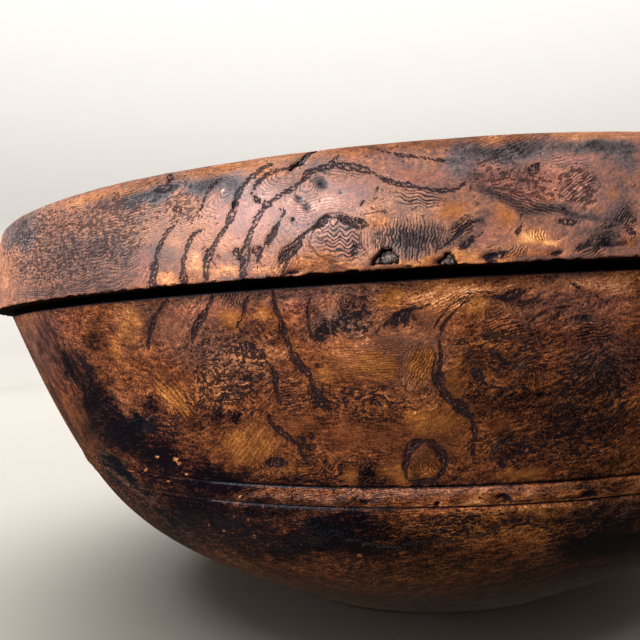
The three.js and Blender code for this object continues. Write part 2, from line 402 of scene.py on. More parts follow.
# Broad patches that are lighter or darker than the figure in them; among them, thin dark strips along the
# collar's lower edge are painted shadow under the collar
SHADES = changes("""
    -.26: 92 400 20 60 33, 606 484 50 12 3, 600 545 60 16 3, 215 472 32 11 -8
    -.24: 300 505 50 10
    -.22: 470 141 200 12 -2, 142 446 26 40 40, 260 508 30 9, 520 202 24 9 -26, 555 209 28 8 -10
    -.2: 55 350 20 44 33, 350 540 80 18, 560 262 90 5 2, 494 190 20 11 -38, 600 216 30 8 -8
    -.19: 100 292 40 6 6, 262 488 44 7 -6, 580 491 26 6
    -.18: 605 240 50 22 -5, 100 262 96 28 8, 368 474 10 18, 382 487 18 8, 575 277 40 5
    -.17: 445 236 64 24
    -.16: 140 192 56 18 14, 50 292 70 9 8, 192 468 44 18 -30, 486 402 56 24, 600 546 60 12 3
    -.16: 628 216 16 14
    -.14: 320 266 60 8 5, 112 424 24 40 40, 235 486 60 16 -6, 310 484 40 10, 360 266 60 5 4
    -.14: 430 265 24 4 4, 92 430 16 20 40, 300 545 90 14, 476 176 14 16 -40, 481 222 8 16 -10
    -.12: 380 152 80 10 -6, 215 172 56 18 14, 220 520 60 24 -20, 395 288 40 9 5, 80 284 70 7 6
    -.12: 110 462 34 16 -40, 84 350 22 12 30, 92 432 14 16 40, 380 500 26 10
    -.1: 410 190 70 24 -8, 340 164 60 12 -8, 240 545 120 14 -4, 400 165 50 12 -5, 430 265 36 4 4
    -.1: 580 484 26 8, 180 446 20 10, 616 176 30 34, 235 520 50 14 -20, 575 214 50 10 -8, 420 289 60 6 3
    -.1: 100 352 14 24 30, 382 530 24 9, 310 551 100 10
    -.09: 612 370 40 22, 258 510 30 9
    -.08: 160 262 40 24 8, 570 425 80 24, 455 375 30 12, 380 151 40 8 -6, 440 252 40 12, 300 468 24 8
    -.08: 505 395 44 10, 610 244 40 12 -5, 380 152 26 8 -6, 20 270 24 12, 180 291 30 6 6
    -.08: 100 450 18 14 40, 220 474 26 8, 330 488 40 7
    -.07: 580 150 32 10 -3, 340 270 28 6 4, 60 392 14 14 30
    -.06: 440 176 60 14 -4, 500 208 60 24 -8, 610 220 34 30, 520 400 26 12, 300 532 90 16, 580 232 26 12
    -.06: 460 250 20 10, 540 410 22 12, 456 382 12 22
    -.05: 500 150 60 14, 340 188 16 12
    -.03: 505 187 40 18 -36
    .03: 420 424 26 14
    .05: 285 205 40 20 15, 440 345 8 40, 400 330 30 12, 350 490 60 5 2, 165 478 40 16 -35, 360 310 26 30
    .05: 610 238 30 14
    .06: 90 225 40 14 8
    .07: 280 245 60 20, 220 410 22 10, 370 408 44 14, 300 450 20 12, 480 468 36 12, 100 410 22 10 45
    .08: 178 330 34 16, 300 388 30 18, 500 342 40 10, 250 196 50 16 12, 375 248 20 14, 580 445 50 16
    .08: 180 228 40 14 10, 330 458 26 10, 60 352 16 24 30, 300 350 26 14, 180 470 18 10, 460 510 24 7
    .08: 580 530 26 9
    .09: 545 350 30 12, 620 330 26 12, 340 530 24 9, 520 310 50 10, 580 328 30 10
    .1: 330 206 30 16, 160 400 30 16 -50, 262 350 30 20, 220 392 50 16, 560 370 90 26, 500 345 40 12
    .1: 220 375 50 26, 320 408 40 10, 340 306 30 12, 260 350 34 12, 536 270 26 5 2, 300 232 30 12
    .1: 330 208 40 12, 412 190 26 8 -8, 214 248 34 14 10, 570 188 22 14, 600 405 50 14, 330 505 26 8
    .1: 620 400 30 24, 20 311 26 8 5
    .12: 276 312 30 14, 384 410 34 14, 220 402 26 10, 104 404 26 12 40, 500 448 26 12, 440 530 90 12 4
    .12: 112 408 32 14 45
    .13: 225 306 70 14 6, 460 308 50 12 14, 620 288 34 10 2
    .14: 520 286 90 10 2, 620 310 40 30, 450 292 60 16 4
    .16: 212 382 28 20, 500 348 26 11, 480 288 40 8 3, 590 288 60 8 2, 460 284 70 12 2, 545 546 30 12
    .16: 578 529 30 10 3
    .18: 345 350 38 14, 600 280 60 12 2, 450 306 34 10 20
    .2: 432 300 40 13 12
    .22: 240 362 50 22, 500 536 90 18 3, 622 277 30 8
    .34: 480 512 110 10 2
""")
# Patches that are greyer or purer in colour; on the collar the greyer ones are partly painted sheen, the
# window's pale reflection
FADED_AND_SHEEN = changes("""
    -.45: 520 256 60 6 2
    -.4: 430 264 70 6 3
    -.3: 330 268 70 8 5
    -.2: 500 536 140 24 3
    -.15: 185 276 60 8 8
    .1: 110 420 50 40 40
    .12: 350 210 80 40
    .14: 90 235 120 50 8
    .15: 240 370 60 34
    .2: 420 205 40 14, 132 325 24 30, 340 325 30 16, 500 162 50 12
    .22: 40 340 40 60 30
    .24: 600 200 60 50
    .25: 570 300 100 40, 610 360 50 34
    .3: 340 318 50 30, 400 245 50 20, 570 160 70 16, 250 190 40 20
    .35: 300 290 140 16 3, 400 494 240 8 2, 585 142 60 14
    .4: 418 172 36 15 -6, 575 277 40 5, 300 160 60 12 -6
    .5: 325 228 50 24
    .6: 350 195 46 28
    .7: 270 205 70 40 12
""")
# Patches that are redder or yellower
REDDER = changes("""
    -.35: 490 528 150 26 4
    -.3: 580 530 60 24 4
    -.25: 420 470 60 20
    -.2: 470 400 90 60
    -.1: 540 400 60 30, 500 215 30 24
    .15: 300 300 90 20 3
    .2: 240 200 40 26, 500 152 60 14, 530 175 50 16, 50 360 30 60 30
    .25: 300 530 80 20, 570 180 60 36, 360 152 70 10 -6
    .3: 330 232 40 24, 60 300 60 10 6, 610 340 40 50
    .4: 505 180 60 30 -25, 420 174 60 20 -6
""")
NETS = table("""
    60 245 70 46 6, 118 220 40 34 10, 180 205 28 22 10, 224 226 16 12, 405 242 44 20, 577 188 27 22 -20,
    500 170 30 20 -20, 525 182 44 20 -20, 592 250 19 9, 630 220 15 14, 500 253 20 8, 462 230 15 10 30,
    612 240 30 10, 235 372 54 38, 330 331 24 13, 357 312 22 30, 408 317 24 12 12, 478 350 26 20,
    510 352 60 26, 508 450 26 22, 590 400 54 60, 366 404 44 18, 325 398 22 15, 303 455 11 36 -12,
    212 402 34 14, 60 360 24 50 40, 160 425 24 18, 560 450 60 16, 480 525 80 18, 250 530 110 24 -4,
    200 262 20 14, 272 334 14 10, 590 535 60 26
""")
SMOOTH = table("""
    252 220 60 34 20, 352 190 40 20, 170 250 40 24, 418 172 30 9 -6, 500 222 16 16, 452 211 14 10,
    608 196 8 8, 200 270 8 16 10, 222 250 10 14 30
""")
SOLID = table("""
    290 248 22 10 45, 270 236 9 16 20, 372 240 6 22, 334 224 24 7 -10, 248 196 8 12
""")
CALM = table("""
    446 424 28 20, 392 468 20 18, 520 476 46 7 3, 455 388 12 32 -8, 248 446 44 20 8, 425 462 15 13,
    365 366 60 20, 40 345 26 56 30, 78 425 24 44 38, 352 476 10 12, 165 325 30 22, 222 312 24 16,
    400 345 30 16, 430 330 14 24 30, 300 425 24 14, 500 425 20 12, 432 436 40 30, 380 436 34 16,
    340 440 26 14
""")
# Patches with growth lines of their own: place and size as above, then the lines' strength, the way
# that they run, their spacing, and the height and length of their waves
LINED = table("""
    342 240 30 28 0 1 4 4.6 2.4 11, 418 197 32 13 -8 1 -8 3.5 1.3 16, 410 238 50 27 0 .8 86 3.5 .8 12,
    462 231 15 11 30 1 33 3 .5 12, 577 188 22 19 0 .8 32 3.2 .8 13, 372 362 60 24 0 .42 3 2.6 .6 10,
    420 366 20 28 -30 .45 64 2.9 .8 12, 456 300 34 15 30 .55 28 2.9 .7 13,
    592 332 26 14 0 .8 8 3.2 2.4 26, 540 236 12 8 0 .9 93 3 .6 10, 369 474 9 15 0 .8 42 3.2 .4 9,
    285 262 16 12 30 .7 62 3.2 .8 12, 240 446 46 20 8 .25 52 4 .6 22, 172 396 34 15 -50 .5 -50 4.2 .6 20,
    228 388 20 14 0 .5 5 3 .9 12, 505 325 22 14 0 .7 20 3.2 1 14, 592 252 20 9 0 .8 35 3.2 .8 11,
    290 396 18 22 0 .55 10 2.8 .8 12, 232 298 20 12 0 .5 70 3 .6 12, 60 255 60 30 8 .35 8 3.4 1.2 14,
    420 520 90 24 4 .4 4 3.4 .8 18, 628 216 15 14 0 .9 60 2.9 .8 9, 530 203 44 10 -16 .6 -16 2.9 .7 15,
    520 252 14 8 0 .8 60 3 .6 9, 566 162 26 8 0 .5 12 3 .8 12, 350 168 24 8 0 .5 -6 3 .8 10,
    58 365 24 64 33 .3 -62 5.4 .6 34, 446 424 24 16 0 .2 30 3.2 .8 14
""")
# Middles and radii of the rings in the growth lines
EYES = table("""
    259 327 9, 322 328 11, 494 309 13, 586 180 12, 604 334 12, 425 461 14, 208 187 12, 478 373 10,
    276 462 10, 236 398 11, 535 168 7, 322 184 7, 530 372 12, 610 372 15, 205 372 10, 345 300 10,
    500 452 11, 60 262 12
""")
SPOTS = table("""
    272 234 12 3.6 58, 236 253 3.4 6, 169 176 5 2.4 45, 257 250 3.4 5, 354 249 3.4 8 -10, 467 243 9 3 42,
    568 222 11 3.6 -3, 535 167 7 3 12, 256 199 6 3 -35, 266 204 6 3.4 -20, 276 463 11 5 -5,
    373 402 5 2.6 20, 383 388 4 2.6, 473 452 2.3 8, 514 293 11 4 15, 364 486 4 5, 522 214 1.6 4,
    610 226 6 2.4 20, 632 232 7 3 -50, 580 318 8 2.6, 246 348 9 5 10, 262 354 4 5, 162 188 9 4 12,
    176 210 4 3 -30, 335 158 4 2 40, 362 203 3 2 60, 377 190 3 1.6 60, 293 219 3 2, 520 229 6 1.8 62,
    292 250 14 5 45, 283 256 8 3 50, 352 222 12 4 -20, 322 222 10 4 35, 345 218 9 3 -10, 361 222 8 4 -25,
    480 374 7 3 -40, 400 318 12 7 30, 320 366 4 3, 246 380 5 3 20, 222 398 9 3 35, 318 395 12 4 -40,
    462 412 10 3.5 -35, 556 262 9 2.2 5, 497 256 12 4 20, 585 245 11 3 35, 605 242 8 3 30, 325 462 1.8 4,
    340 466 3 3, 504 442 5 2 20, 520 448 6 2
""")
# Lines of figure: half widths at both ends, then the places that they pass
ROPES = table("""
    4.4 1.2 151 290 152 278 154 265 156 254 160 245 167 233 176 221,
    3.8 1.4 183 288 183 276 183 262 186 250 190 240 196 233 206 228,
    3.8 3.4 206 282 205 272 206 262 210 253 215 244 221 235 227 226,
    3.2 4.6 227 226 231 216 234 207 235 198,
    4 1.8 234 200 241 188 250 178 259 170 268 164 273 163,
    5.4 3 243 282 243 268 245 256 246 246 248 238 252 226 258 216 265 207,
    1.4 1.6 258 268 259 258 262 248 267 240,
    2.4 2.4 268 206 275 199 285 192 296 185 304 177 311 171,
    2.2 2.2 250 193 256 185 262 178 270 172 278 169 288 168 300 160,
    3.4 3.6 302 181 308 173 318 168 329 165 340 165 352 166 363 168 375 173,
    3.4 1.6 375 173 388 180 399 183 410 185 430 189 447 190 460 187 468 178,
    1.2 1.5 368 147 384 150 400 154 412 155 422 156 434 158 448 160,
    1.4 1.4 278 210 282 209 284 213 280 219 278 221,
    3 3.6 278 222 275 230 271 238 267 246,
    3.6 4.4 306 232 299 240 293 246 286 251 279 257,
    2.4 1 293 246 290 254 286 264 282 272,
    2 1.2 318 222 310 230 303 236 297 243,
    2 1.4 438 251 450 243 461 232 470 224 482 219,
    2.2 1.2 460 250 468 245 474 240 484 233,
    1.2 1.2 198 217 202 205 206 194 213 184 222 176,
    2.2 2.6 166 299 161 307 156 315 152 326 149 337 147 350,
    4.2 3 211 296 209 305 204 314 198 324 194 334 193 344,
    2.6 2.2 246 293 245 302 243 313 239 320 236 328,
    3.6 2.8 272 291 274 301 276 310 280 319 283 328 286 337 289 345 292 352,
    4.4 7 290 352 297 361 303 369 311 377,
    5 2 311 377 313 386 316 396 322 405 330 410,
    2.2 2 310 297 308 307 308 318 309 328 311 336,
    2.2 3.8 262 358 270 366 275 376 275 386 277 398 280 407,
    4.4 3 268 416 273 426 283 434 296 444,
    2.6 1.6 526 290 518 297 510 301 500 297 488 296 477 298 467 302 459 308,
    1.8 2.6 459 308 452 315 446 323 442 332 440 342 441 353 440 364 440 376,
    4 7.4 440 370 441 384 446 395 454 402 466 408,
    4 2 463 407 471 416 475 428 476 440,
    1 1.4 498 291 484 292 470 295 458 301 448 309 440 318 435 330,
    1.2 2.6 436 352 434 364 434 376 437 388,
    2.8 1.2 384 328 392 319 402 313 412 310 422 309 432 303,
    1.8 1.4 567 280 576 286 586 292 598 298 610 305,
    1.3 1.3 594 285 602 288 610 292 616 296 623 303,
    4.4 5.4 406 480 405 470 407 459 411 449 417 443 426 440,
    5.4 4.2 426 440 434 445 441 453 445 462 443 472 438 478,
    3.8 3.2 407 480 416 482 428 481 439 478,
    2 1.4 530 322 546 312 562 308 580 304,
    2 1.6 471 364 474 374 480 382 490 386 506 388 530 386,
    1.5 1.5 497 505 508 502 520 503 534 501,
    1.8 1.8 345 508 350 504 354 500 358 496,
    1.6 1.6 560 500 574 499 588 497 604 493
""")
# Broken places on the bead, and on the collar's lower edge, with their depth in millimetres
CHIPS = table("""
    319 149.5 8 2.6 12 1.3, 364 502 7 4 0 .7, 438 505 4 3 0 .7, 504 499 9 5 5 .8, 590 497 14 4 6 .6,
    291 273 9 3.2 8 1.1, 446 263 14 5 -4 1.3, 558 253 11 3.4 6 .8, 492 257 14 4 14 .9,
    168 178 7 2.2 50 1.3, 352 272 9 2.4 4 .6, 246 282 7 2.4 5 .6, 612 246 12 3 4 .7, 410 268 5 2 0 .7,
    234 203 3 8 -12 .5
""")
# Soft dents on the collar, painted darker and greyer inside: painted shade in the dents
PITS = table("""
    321 183 9 8 -30 .9, 306 207 7 6 -30 .9, 299 199 6 5 -30 .7, 292 220 3 2.4 0 .4, 341 193 3.4 2.4 0 .35
""")
# Growth lines to a millimetre where no patch has its own, and the way that they are counted
LINES = 1.25
PHASE_WAY = np.array([0.22, 0.18, -0.96])
# The figure that the photograph doesn't show is drawn at this many pixels to a millimetre, on a drum of
# this radius, and fades out between two radii towards the middle of the base and of the floor
GENERIC_SCALE = 3.3
GENERIC_RADIUS = 170.0
GENERIC_FADE = 55, 110
SEED = 20
# Depth below a rope's or a spot's edge, in millimetres, where none is near
NO_DEPTH = -3.0


def ellipse(at, x, y, half_width, half_height, turn=0.0):
    """How far out in an ellipse places are: 1 at its edge."""
    c, s = way(turn)
    dx, dy = at[:, 0] - x, at[:, 1] - y
    return np.hypot((c * dx - s * dy) / half_width, (s * dx + c * dy) / half_height)


def near(at, x, y, reach):
    return np.nonzero((np.abs(at[:, 0] - x) < reach) & (np.abs(at[:, 1] - y) < reach))[0]


def patch(at, place, edge_at=None):
    """The points round a patch, and how far out in it they are."""
    here = near(at, *place[:2], 1.3 * max(place[2:4]))
    return here, ellipse((at if edge_at is None else edge_at)[here], *place)


class Brush:
    """Paints figure into a skin's fields, with a share and a scale at each point."""

    def __init__(self, skin, share, scale):
        self.skin, self.share, self.scale = skin, share, scale

    def lay(self, at, patches, edge=0.2, **values):
        """Turns fields towards values inside each patch."""
        for place in patches:
            here, inside = patch(at, place)
            weight = self.share[here] * (1 - smoothstep(edge, 1.15, inside))
            for name, value in values.items():
                self.skin[name][here] += (value - self.skin[name][here]) * weight

    def shade(self, name, at, groups):
        for change, patches in groups:
            for place in patches:
                here, inside = patch(at, place)
                self.skin[name][here] += change * self.share[here] * (1 - smoothstep(0.1, 1.25, inside))

    def swirl(self, at, eyes):
        """Lays rings of the growth lines round each eye."""
        phase, ripple = self.skin["phase"], self.skin["ripple"]
        for x, y, radius in eyes:
            here = near(at, x, y, 2.4 * radius)
            gap = np.hypot(at[here, 0] - x, at[here, 1] - y) / radius
            phase[here] += 3.2 * self.share[here] * radius / self.scale[here] * np.exp(-gap * gap)
            ripple[here] = np.maximum(ripple[here], 0.8 * self.share[here] * np.exp(-gap * gap))

    def rule(self, at, edge_at, patches, firm=1.0):
        """Gives patches their own growth lines, with an edge that is soft from a share of the way out."""
        skin = self.skin
        for *place, strength, run, spacing, wave, length in patches:
            here, inside = patch(at, place, edge_at)
            weight = self.share[here] * (1 - smoothstep(firm, 1.001, inside))
            c, s = way(run)
            x, y = place[:2]
            dx, dy = at[here, 0] - x, at[here, 1] - y
            along, across = c * dx - s * dy, s * dx + c * dy
            drift = 0.25 * np.sin(across / length) + 0.4 * np.sin(along / 27 + across / 17 + x)
            zigzag = np.abs((along / length + drift) % 1 - 0.5) * 4 - 1
            height = wave * (0.75 + 0.45 * np.sin(along / 13 - across / 8 + y))
            lines = (across + height * zigzag) / spacing
            level = skin["phase"][here].mean() if len(here) else 0
            skin["phase"][here] += (level + lines - skin["phase"][here]) * weight
            skin["ruled"][here] = np.maximum(skin["ruled"][here], weight)
            weight = self.share[here] * (1 - smoothstep(0.5, 1.0, inside))
            skin["ripple"][here] += (strength - skin["ripple"][here]) * weight

    def deepen(self, here, depth, along, side):
        """Keeps a line's depth and the places along and across it where it is the deepest there."""
        deeper = depth > self.skin["depth"][here]
        here = here[deeper]
        self.skin["depth"][here] = depth[deeper]
        self.skin["along"][here] = along[deeper] / self.scale[here]
        self.skin["side"][here] = side[deeper] / self.scale[here]

    def spot(self, at, spots):
        for place in spots:
            here = near(at, *place[:2], max(place[2:4]) + 10)
            depth = (1 - ellipse(at[here], *place)) * min(place[2:4]) / self.scale[here]
            self.deepen(here, np.where(self.share[here] > 0.5, depth, NO_DEPTH), at[here, 1], at[here, 0])

    def rope(self, at, first_width, last_width, *places):
        """A line of figure: its depth below its edge and the way along it, in millimetres."""
        line = smooth_line(np.reshape(places, (-1, 2)))
        reach = max(first_width, last_width) + 12
        low, high = line.min(0) - reach, line.max(0) + reach
        here = np.nonzero(((at > low) & (at < high)).all(1) & (self.share > 0.5))[0]
        gap = np.full(len(here), 1e9)
        along, side = np.zeros(len(here)), np.zeros(len(here))
        walked = 0.0
        length = np.hypot(*np.diff(line, axis=0).T).sum()
        for a, b in zip(line, line[1:]):
            run = b - a
            size = float(np.hypot(*run))
            step = np.clip(((at[here] - a) @ run) / size**2, 0, 1)
            away = at[here] - a - step[:, None] * run
            off = np.hypot(*away.T)
            left = away[:, 0] * run[1] > away[:, 1] * run[0]
            swell = 0.2 * math.sin(walked / 7.3 + places[0]) + 0.15 * math.sin(walked / 3.1 + places[1])
            taper = min(1.0, (walked + 4) / 12, (length - walked + 4) / 12)
            half_width = first_width + (last_width - first_width) * walked / length
            distance = off - half_width * (0.8 + swell) * taper
            closer = distance < gap
            side[closer] = np.where(left, off, -off)[closer]
            gap[closer] = distance[closer]
            along[closer] = walked + step[closer] * size
            walked += size
        self.deepen(here, -gap / self.scale[here], along, side)


def smooth_line(places):
    """A rounded line through the places, with points a pixel and a half apart."""
    p = np.vstack([2 * places[0] - places[1], places, 2 * places[-1] - places[-2]])
    t = np.linspace(0, 1, 12, endpoint=False)[:, None]
    parts = []
    for a, b, c, d in zip(p, p[1:], p[2:], p[3:]):
        parts.append(b + 0.5 * t * (c - a + t * (2 * a - 5 * b + 4 * c - d + t * (3 * b - 3 * c + d - a))))
    return spaced(np.vstack([*parts, p[-2:-1]]), 1.5)


def drawn_patches(rng, count, width, height, smallest, largest):
    return [(rng.uniform(0, width), rng.uniform(*height), rng.uniform(smallest, largest),
             rng.uniform(0.4, 0.8) * rng.uniform(smallest, largest), rng.uniform(-60, 60))
            for _ in range(count)]


def drawn_lines(rng, count, width, height):
    return [(*place, rng.uniform(0.5, 1.0), rng.uniform(-90, 90), rng.uniform(2.6, 3.6),
             rng.uniform(0.5, 2.2), rng.uniform(9, 20))
            for place in drawn_patches(rng, count, width, height, 16, 40)]


def drawn_rope(rng, width, height):
    heading = rng.uniform(-1, 1) + rng.choice([-1.57, 1.57])
    place = np.array([rng.uniform(0, width), rng.uniform(*height)])
    places = []
    bend = rng.uniform(-0.12, 0.12)
    for _ in range(rng.integers(5, 20)):
        places.extend(place)
        bend += rng.uniform(-0.12, 0.12)
        heading += bend
        place = place + 11 * np.array([math.cos(heading), math.sin(heading)])
    return rng.uniform(1.4, 5.0), rng.uniform(1.2, 3.6), *places


def paint_generic(skin):
    """The figure where the photograph shows none, in the same sizes, from seeded draws."""
    rng = np.random.default_rng(SEED)
    points = skin.points
    width = 2 * math.pi * GENERIC_RADIUS * GENERIC_SCALE
    at = np.column_stack([skin.turn * GENERIC_RADIUS * GENERIC_SCALE % width, skin.s * GENERIC_SCALE])
    at += 9 * wobble(points, 9, 31)
    loose = at + 14 * wobble(points, 7, 33) + 8 * wobble(points, 2.2, 35)
    share = (1 - skin.seen) * smoothstep(*GENERIC_FADE, skin.r)
    brush = Brush(skin, share, np.full(len(points), GENERIC_SCALE))

    def band(first, last, first_end=0, last_end=1):
        return skin.spans[first][first_end] * GENERIC_SCALE, skin.spans[last][last_end] * GENERIC_SCALE

    def strew(count, band, smallest, largest, edge=0.2, at=at, **values):
        brush.lay(at, drawn_patches(rng, count, width, band, smallest, largest), edge, **values)

    whole, rim, side = band("foot", "wall"), band("collar_foot", "mouth"), band("side", "side")
    strew(200, whole, 16, 80, tone=0.30, red=0.3, net=0.9)
    strew(150, whole, 14, 60, tone=0.78, red=0.1, ripple=0.5)
    strew(60, whole, 14, 50, tone=0.6, red=0.7)
    strew(40, whole, 12, 34, tone=0.32, grey=0.6)
    strew(110, whole, 14, 50, net=0.95)
    strew(110, whole, 14, 50, edge=0.55, ripple=0.9)
    strew(14, band("foot", "side", 0, 0), 30, 70, edge=0.55, tone=0.08, red=0.3, grey=0.3)
    brush.swirl(at, [(p[0], p[1], p[2] / 2) for p in drawn_patches(rng, 120, width, whole, 20, 46)])
    brush.rule(at, loose, drawn_lines(rng, 90, width, whole), firm=0.6)
    brush.spot(at, drawn_patches(rng, 200, width, whole, 2, 8))
    for _ in range(230):
        brush.rope(at, *drawn_rope(rng, width, whole))
    strew(50, rim, 14, 46, at=loose, tone=0.40, net=0.85)
    strew(45, rim, 16, 50, at=loose, tone=0.28, grey=0.5, red=0.6)
    strew(70, rim, 14, 50, at=loose, tone=0.72, red=0.0, grey=-0.3)
    strew(70, side, 16, 56, at=loose, tone=0.72, red=0.0, busy=0.8)
    strew(30, side, 16, 50, at=loose, tone=0.36, net=0.9)


def paint_photo(skin):
    """The figure that the photograph shows, at its places there."""
    brush = Brush(skin, skin.seen, skin.scale)
    wander, finer = wobble(skin.points, 7, 11), wobble(skin.points, 2.2, 13)
    loose = skin.at + 14 * wander + 6 * finer
    firm = skin.at + 2.0 * wander + 1.6 * finer
    brush.lay(loose, UMBER, tone=0.38, red=0.3)
    brush.lay(loose, ROSE_AND_SHEEN, tone=0.58, red=0.8)
    brush.lay(loose, SLATE, tone=0.27, grey=0.5, red=0.6)
    brush.lay(loose, GOLDEN, tone=0.70, red=0.0, grey=-0.12, busy=0.8)
    brush.lay(loose, BRIGHT, edge=0.1, tone=0.82, red=-0.1, grey=-0.5)
    brush.lay(loose, STAIN, tone=0.14, red=0.75, grey=0, busy=1.7, net=0.4)
    brush.lay(loose, BLUE_BLACK, edge=0.3, tone=0.02, red=0, grey=0.9)
    # Painted rim light along the lower body's silhouette
    brush.lay(firm, SILHOUETTE_RIM_LIGHT, edge=0.55, tone=0.42, red=0.5, grey=0.1)
    brush.lay(firm, SPECKS, edge=0.8, tone=1.1, red=0, grey=0.2)
    brush.lay(firm, LIP, edge=0.4, tone=0.52, red=0.0, grey=-0.25)
    brush.lay(loose, ORANGE, tone=0.55, red=0.15, grey=-0.42)
    brush.lay(firm, SOLID, edge=0.55, lean=0.25)
    # Lighter and darker patches, with the painted shadow under the collar's lower edge
    brush.shade("tone", loose, SHADES)
    brush.shade("grey", loose, FADED_AND_SHEEN)
    brush.shade("red", loose, REDDER)
    brush.lay(loose, NETS, edge=0.55, net=0.85)
    brush.lay(loose, SMOOTH, edge=0.3, net=0.05, ripple=0.08, busy=0.35)
    brush.lay(loose, CALM, edge=0.3, net=0.05, ripple=0.12, busy=0.6)
    brush.swirl(firm, EYES)
    brush.rule(firm, 0.5 * (firm + loose), LINED)
    brush.spot(firm, SPOTS)
    for line in ROPES:
        brush.rope(firm, *line)


# Pockets and inclusions

def arch_outline(spec, growth):
    half, top = spec["width"] / 2 + growth, spec["height"] + growth
    t = np.linspace(0, 1, 24)
    return np.vstack([
        bezier(t, (half, -growth), (half, top * 0.75), (half * 0.4, top), (0, top)),
        bezier(t, (0, top), (-half * 0.35, top), (-half * 0.3, top * 0.6), (-half * 0.55, top * 0.52))[1:],
        bezier(t, (-half * 0.55, top * 0.52), (-half * 0.9, top * 0.4), (-half, -growth))[1:],
        np.column_stack([np.linspace(-half, half, 24), np.full(24, -growth)])[1:-1],
    ])


def crack_outline(start, end, lower, upper):
    """The crack between two places along it, from the reach of its two sides."""
    t = np.linspace(start, end, 60)
    kinks = 0.22 * np.sin(9 * t) + 0.15 * np.sin(23 * t + 1)
    below = -np.interp(t, CRACK_PLACES, CRACK_BELOW) * lower
    above = np.interp(t, CRACK_PLACES, CRACK_ABOVE) * upper
    line = t * CRACK["length"] / 2
    outline = np.vstack([np.column_stack([line, below + kinks]),
                         np.column_stack([line, above + kinks])[-2:0:-1]])
    c, s = way(CRACK_SLOPE)
    return outline @ np.array([[c, s], [-s, c]])


def cut_above(outline, top):
    """The part of an outline that lies below a height."""
    kept = []
    for a, b in zip(outline, np.roll(outline, -1, axis=0)):
        if a[1] <= top:
            kept.append(a)
        if (a[1] <= top) != (b[1] <= top):
            kept.append(a + (b - a) * (top - a[1]) / (b[1] - a[1]))
    return np.array(kept)


def depth_inside(points, outline):
    """Distance to an outline, positive inside it."""
    best = np.full(len(points), 1e9)
    inside = np.zeros(len(points), bool)
    for a, b in zip(outline, np.roll(outline, -1, axis=0)):
        run = b - a
        share = np.clip(((points - a) @ run) / max(run @ run, 1e-12), 0, 1)
        best = np.minimum(best, np.hypot(*(points - a - share[:, None] * run).T))
        crosses = (a[1] > points[:, 1]) != (b[1] > points[:, 1])
        with np.errstate(divide="ignore", invalid="ignore"):
            meets = a[0] + (points[:, 1] - a[1]) * run[0] / run[1]
        inside ^= crosses & (points[:, 0] < meets)
    return np.where(inside, best, -best)


def local_places(points, azimuth, z):
    """Along the rim, up and outwards, as seen from an inclusion."""
    c, s = way(azimuth)
    return np.column_stack([points[:, 0] * c + points[:, 1] * s, points[:, 2] - z,
                            points[:, 0] * s - points[:, 1] * c])


POCKETS = [(BARK, arch_outline(BARK, SEAT_GAP)), (KNOT, arch_outline(KNOT, SEAT_GAP)),
           (CRACK, crack_outline(-1, 1, *CRACK_SIDES))]
# A pocket is looked for this far to its sides, up and down, and from this far out
POCKET_REACH = 12
POCKET_FRONT = 150


def cut_pockets(skin):
    """Sinks the skin into the three pockets of the collar."""
    points, grime_and_shade = skin.points, skin["grime_and_shade"]
    for spec, outline in POCKETS:
        local = local_places(points, spec["azimuth"], spec["z"])
        here = np.nonzero(skin.outer & (np.abs(local[:, :2]) < POCKET_REACH).all(1)
                          & (local[:, 2] > POCKET_FRONT))[0]
        ragged = 0.5 * (lattice_noise(points[here], 0.9, 41) - 0.5)
        inside = depth_inside(local[here, :2], outline)
        back = COLLAR_RADIUS - (spec["depth"] + SEAT_GAP)
        sink = np.maximum(local[here, 2] - back, 0) * smoothstep(-0.2, 0.15, inside + ragged)
        outward = points[here, :2] / np.hypot(*points[here, :2].T)[:, None]
        points[here, :2] -= outward * sink[:, None]
        # The pocket's sunken skin and ragged edge are painted dark: painted shade in the gap round the lump,
        # and soiling
        grime_and_shade[here] = np.maximum(grime_and_shade[here], smoothstep(-0.2, 0.1, inside + ragged))


# Meshes

def add_mesh(name, vertices, faces, material):
    mesh = bpy.data.meshes.new(name)
    mesh.from_pydata((vertices * MM).tolist(), [], faces, shade_flat=False)
    mesh.materials.append(material)
    piece = bpy.data.objects.new(name, mesh)
    bpy.context.scene.collection.objects.link(piece)
    return piece


def grid_faces(rings, columns):
    """Quads between rings of the same number of columns."""
    i, j = np.meshgrid(np.arange(rings - 1), np.arange(columns), indexing="ij")
    k = (j + 1) % columns
    a = i * columns
    b = a + columns
    return np.stack([a + j, a + k, b + k, b + j], axis=-1).reshape(-1, 4).tolist()


def closed_faces(rings, columns):
    """Quads between rings, and triangles from the first and the last of them to the two poles after them."""
    faces = grid_faces(rings, columns)
    a = np.arange(columns)
    b = (a + 1) % columns
    last, pole = (rings - 1) * columns, np.full(columns, rings * columns)
    for fan in ([b, a, pole], [last + a, last + b, pole + 1]):
        faces += np.column_stack(fan).tolist()
    return faces


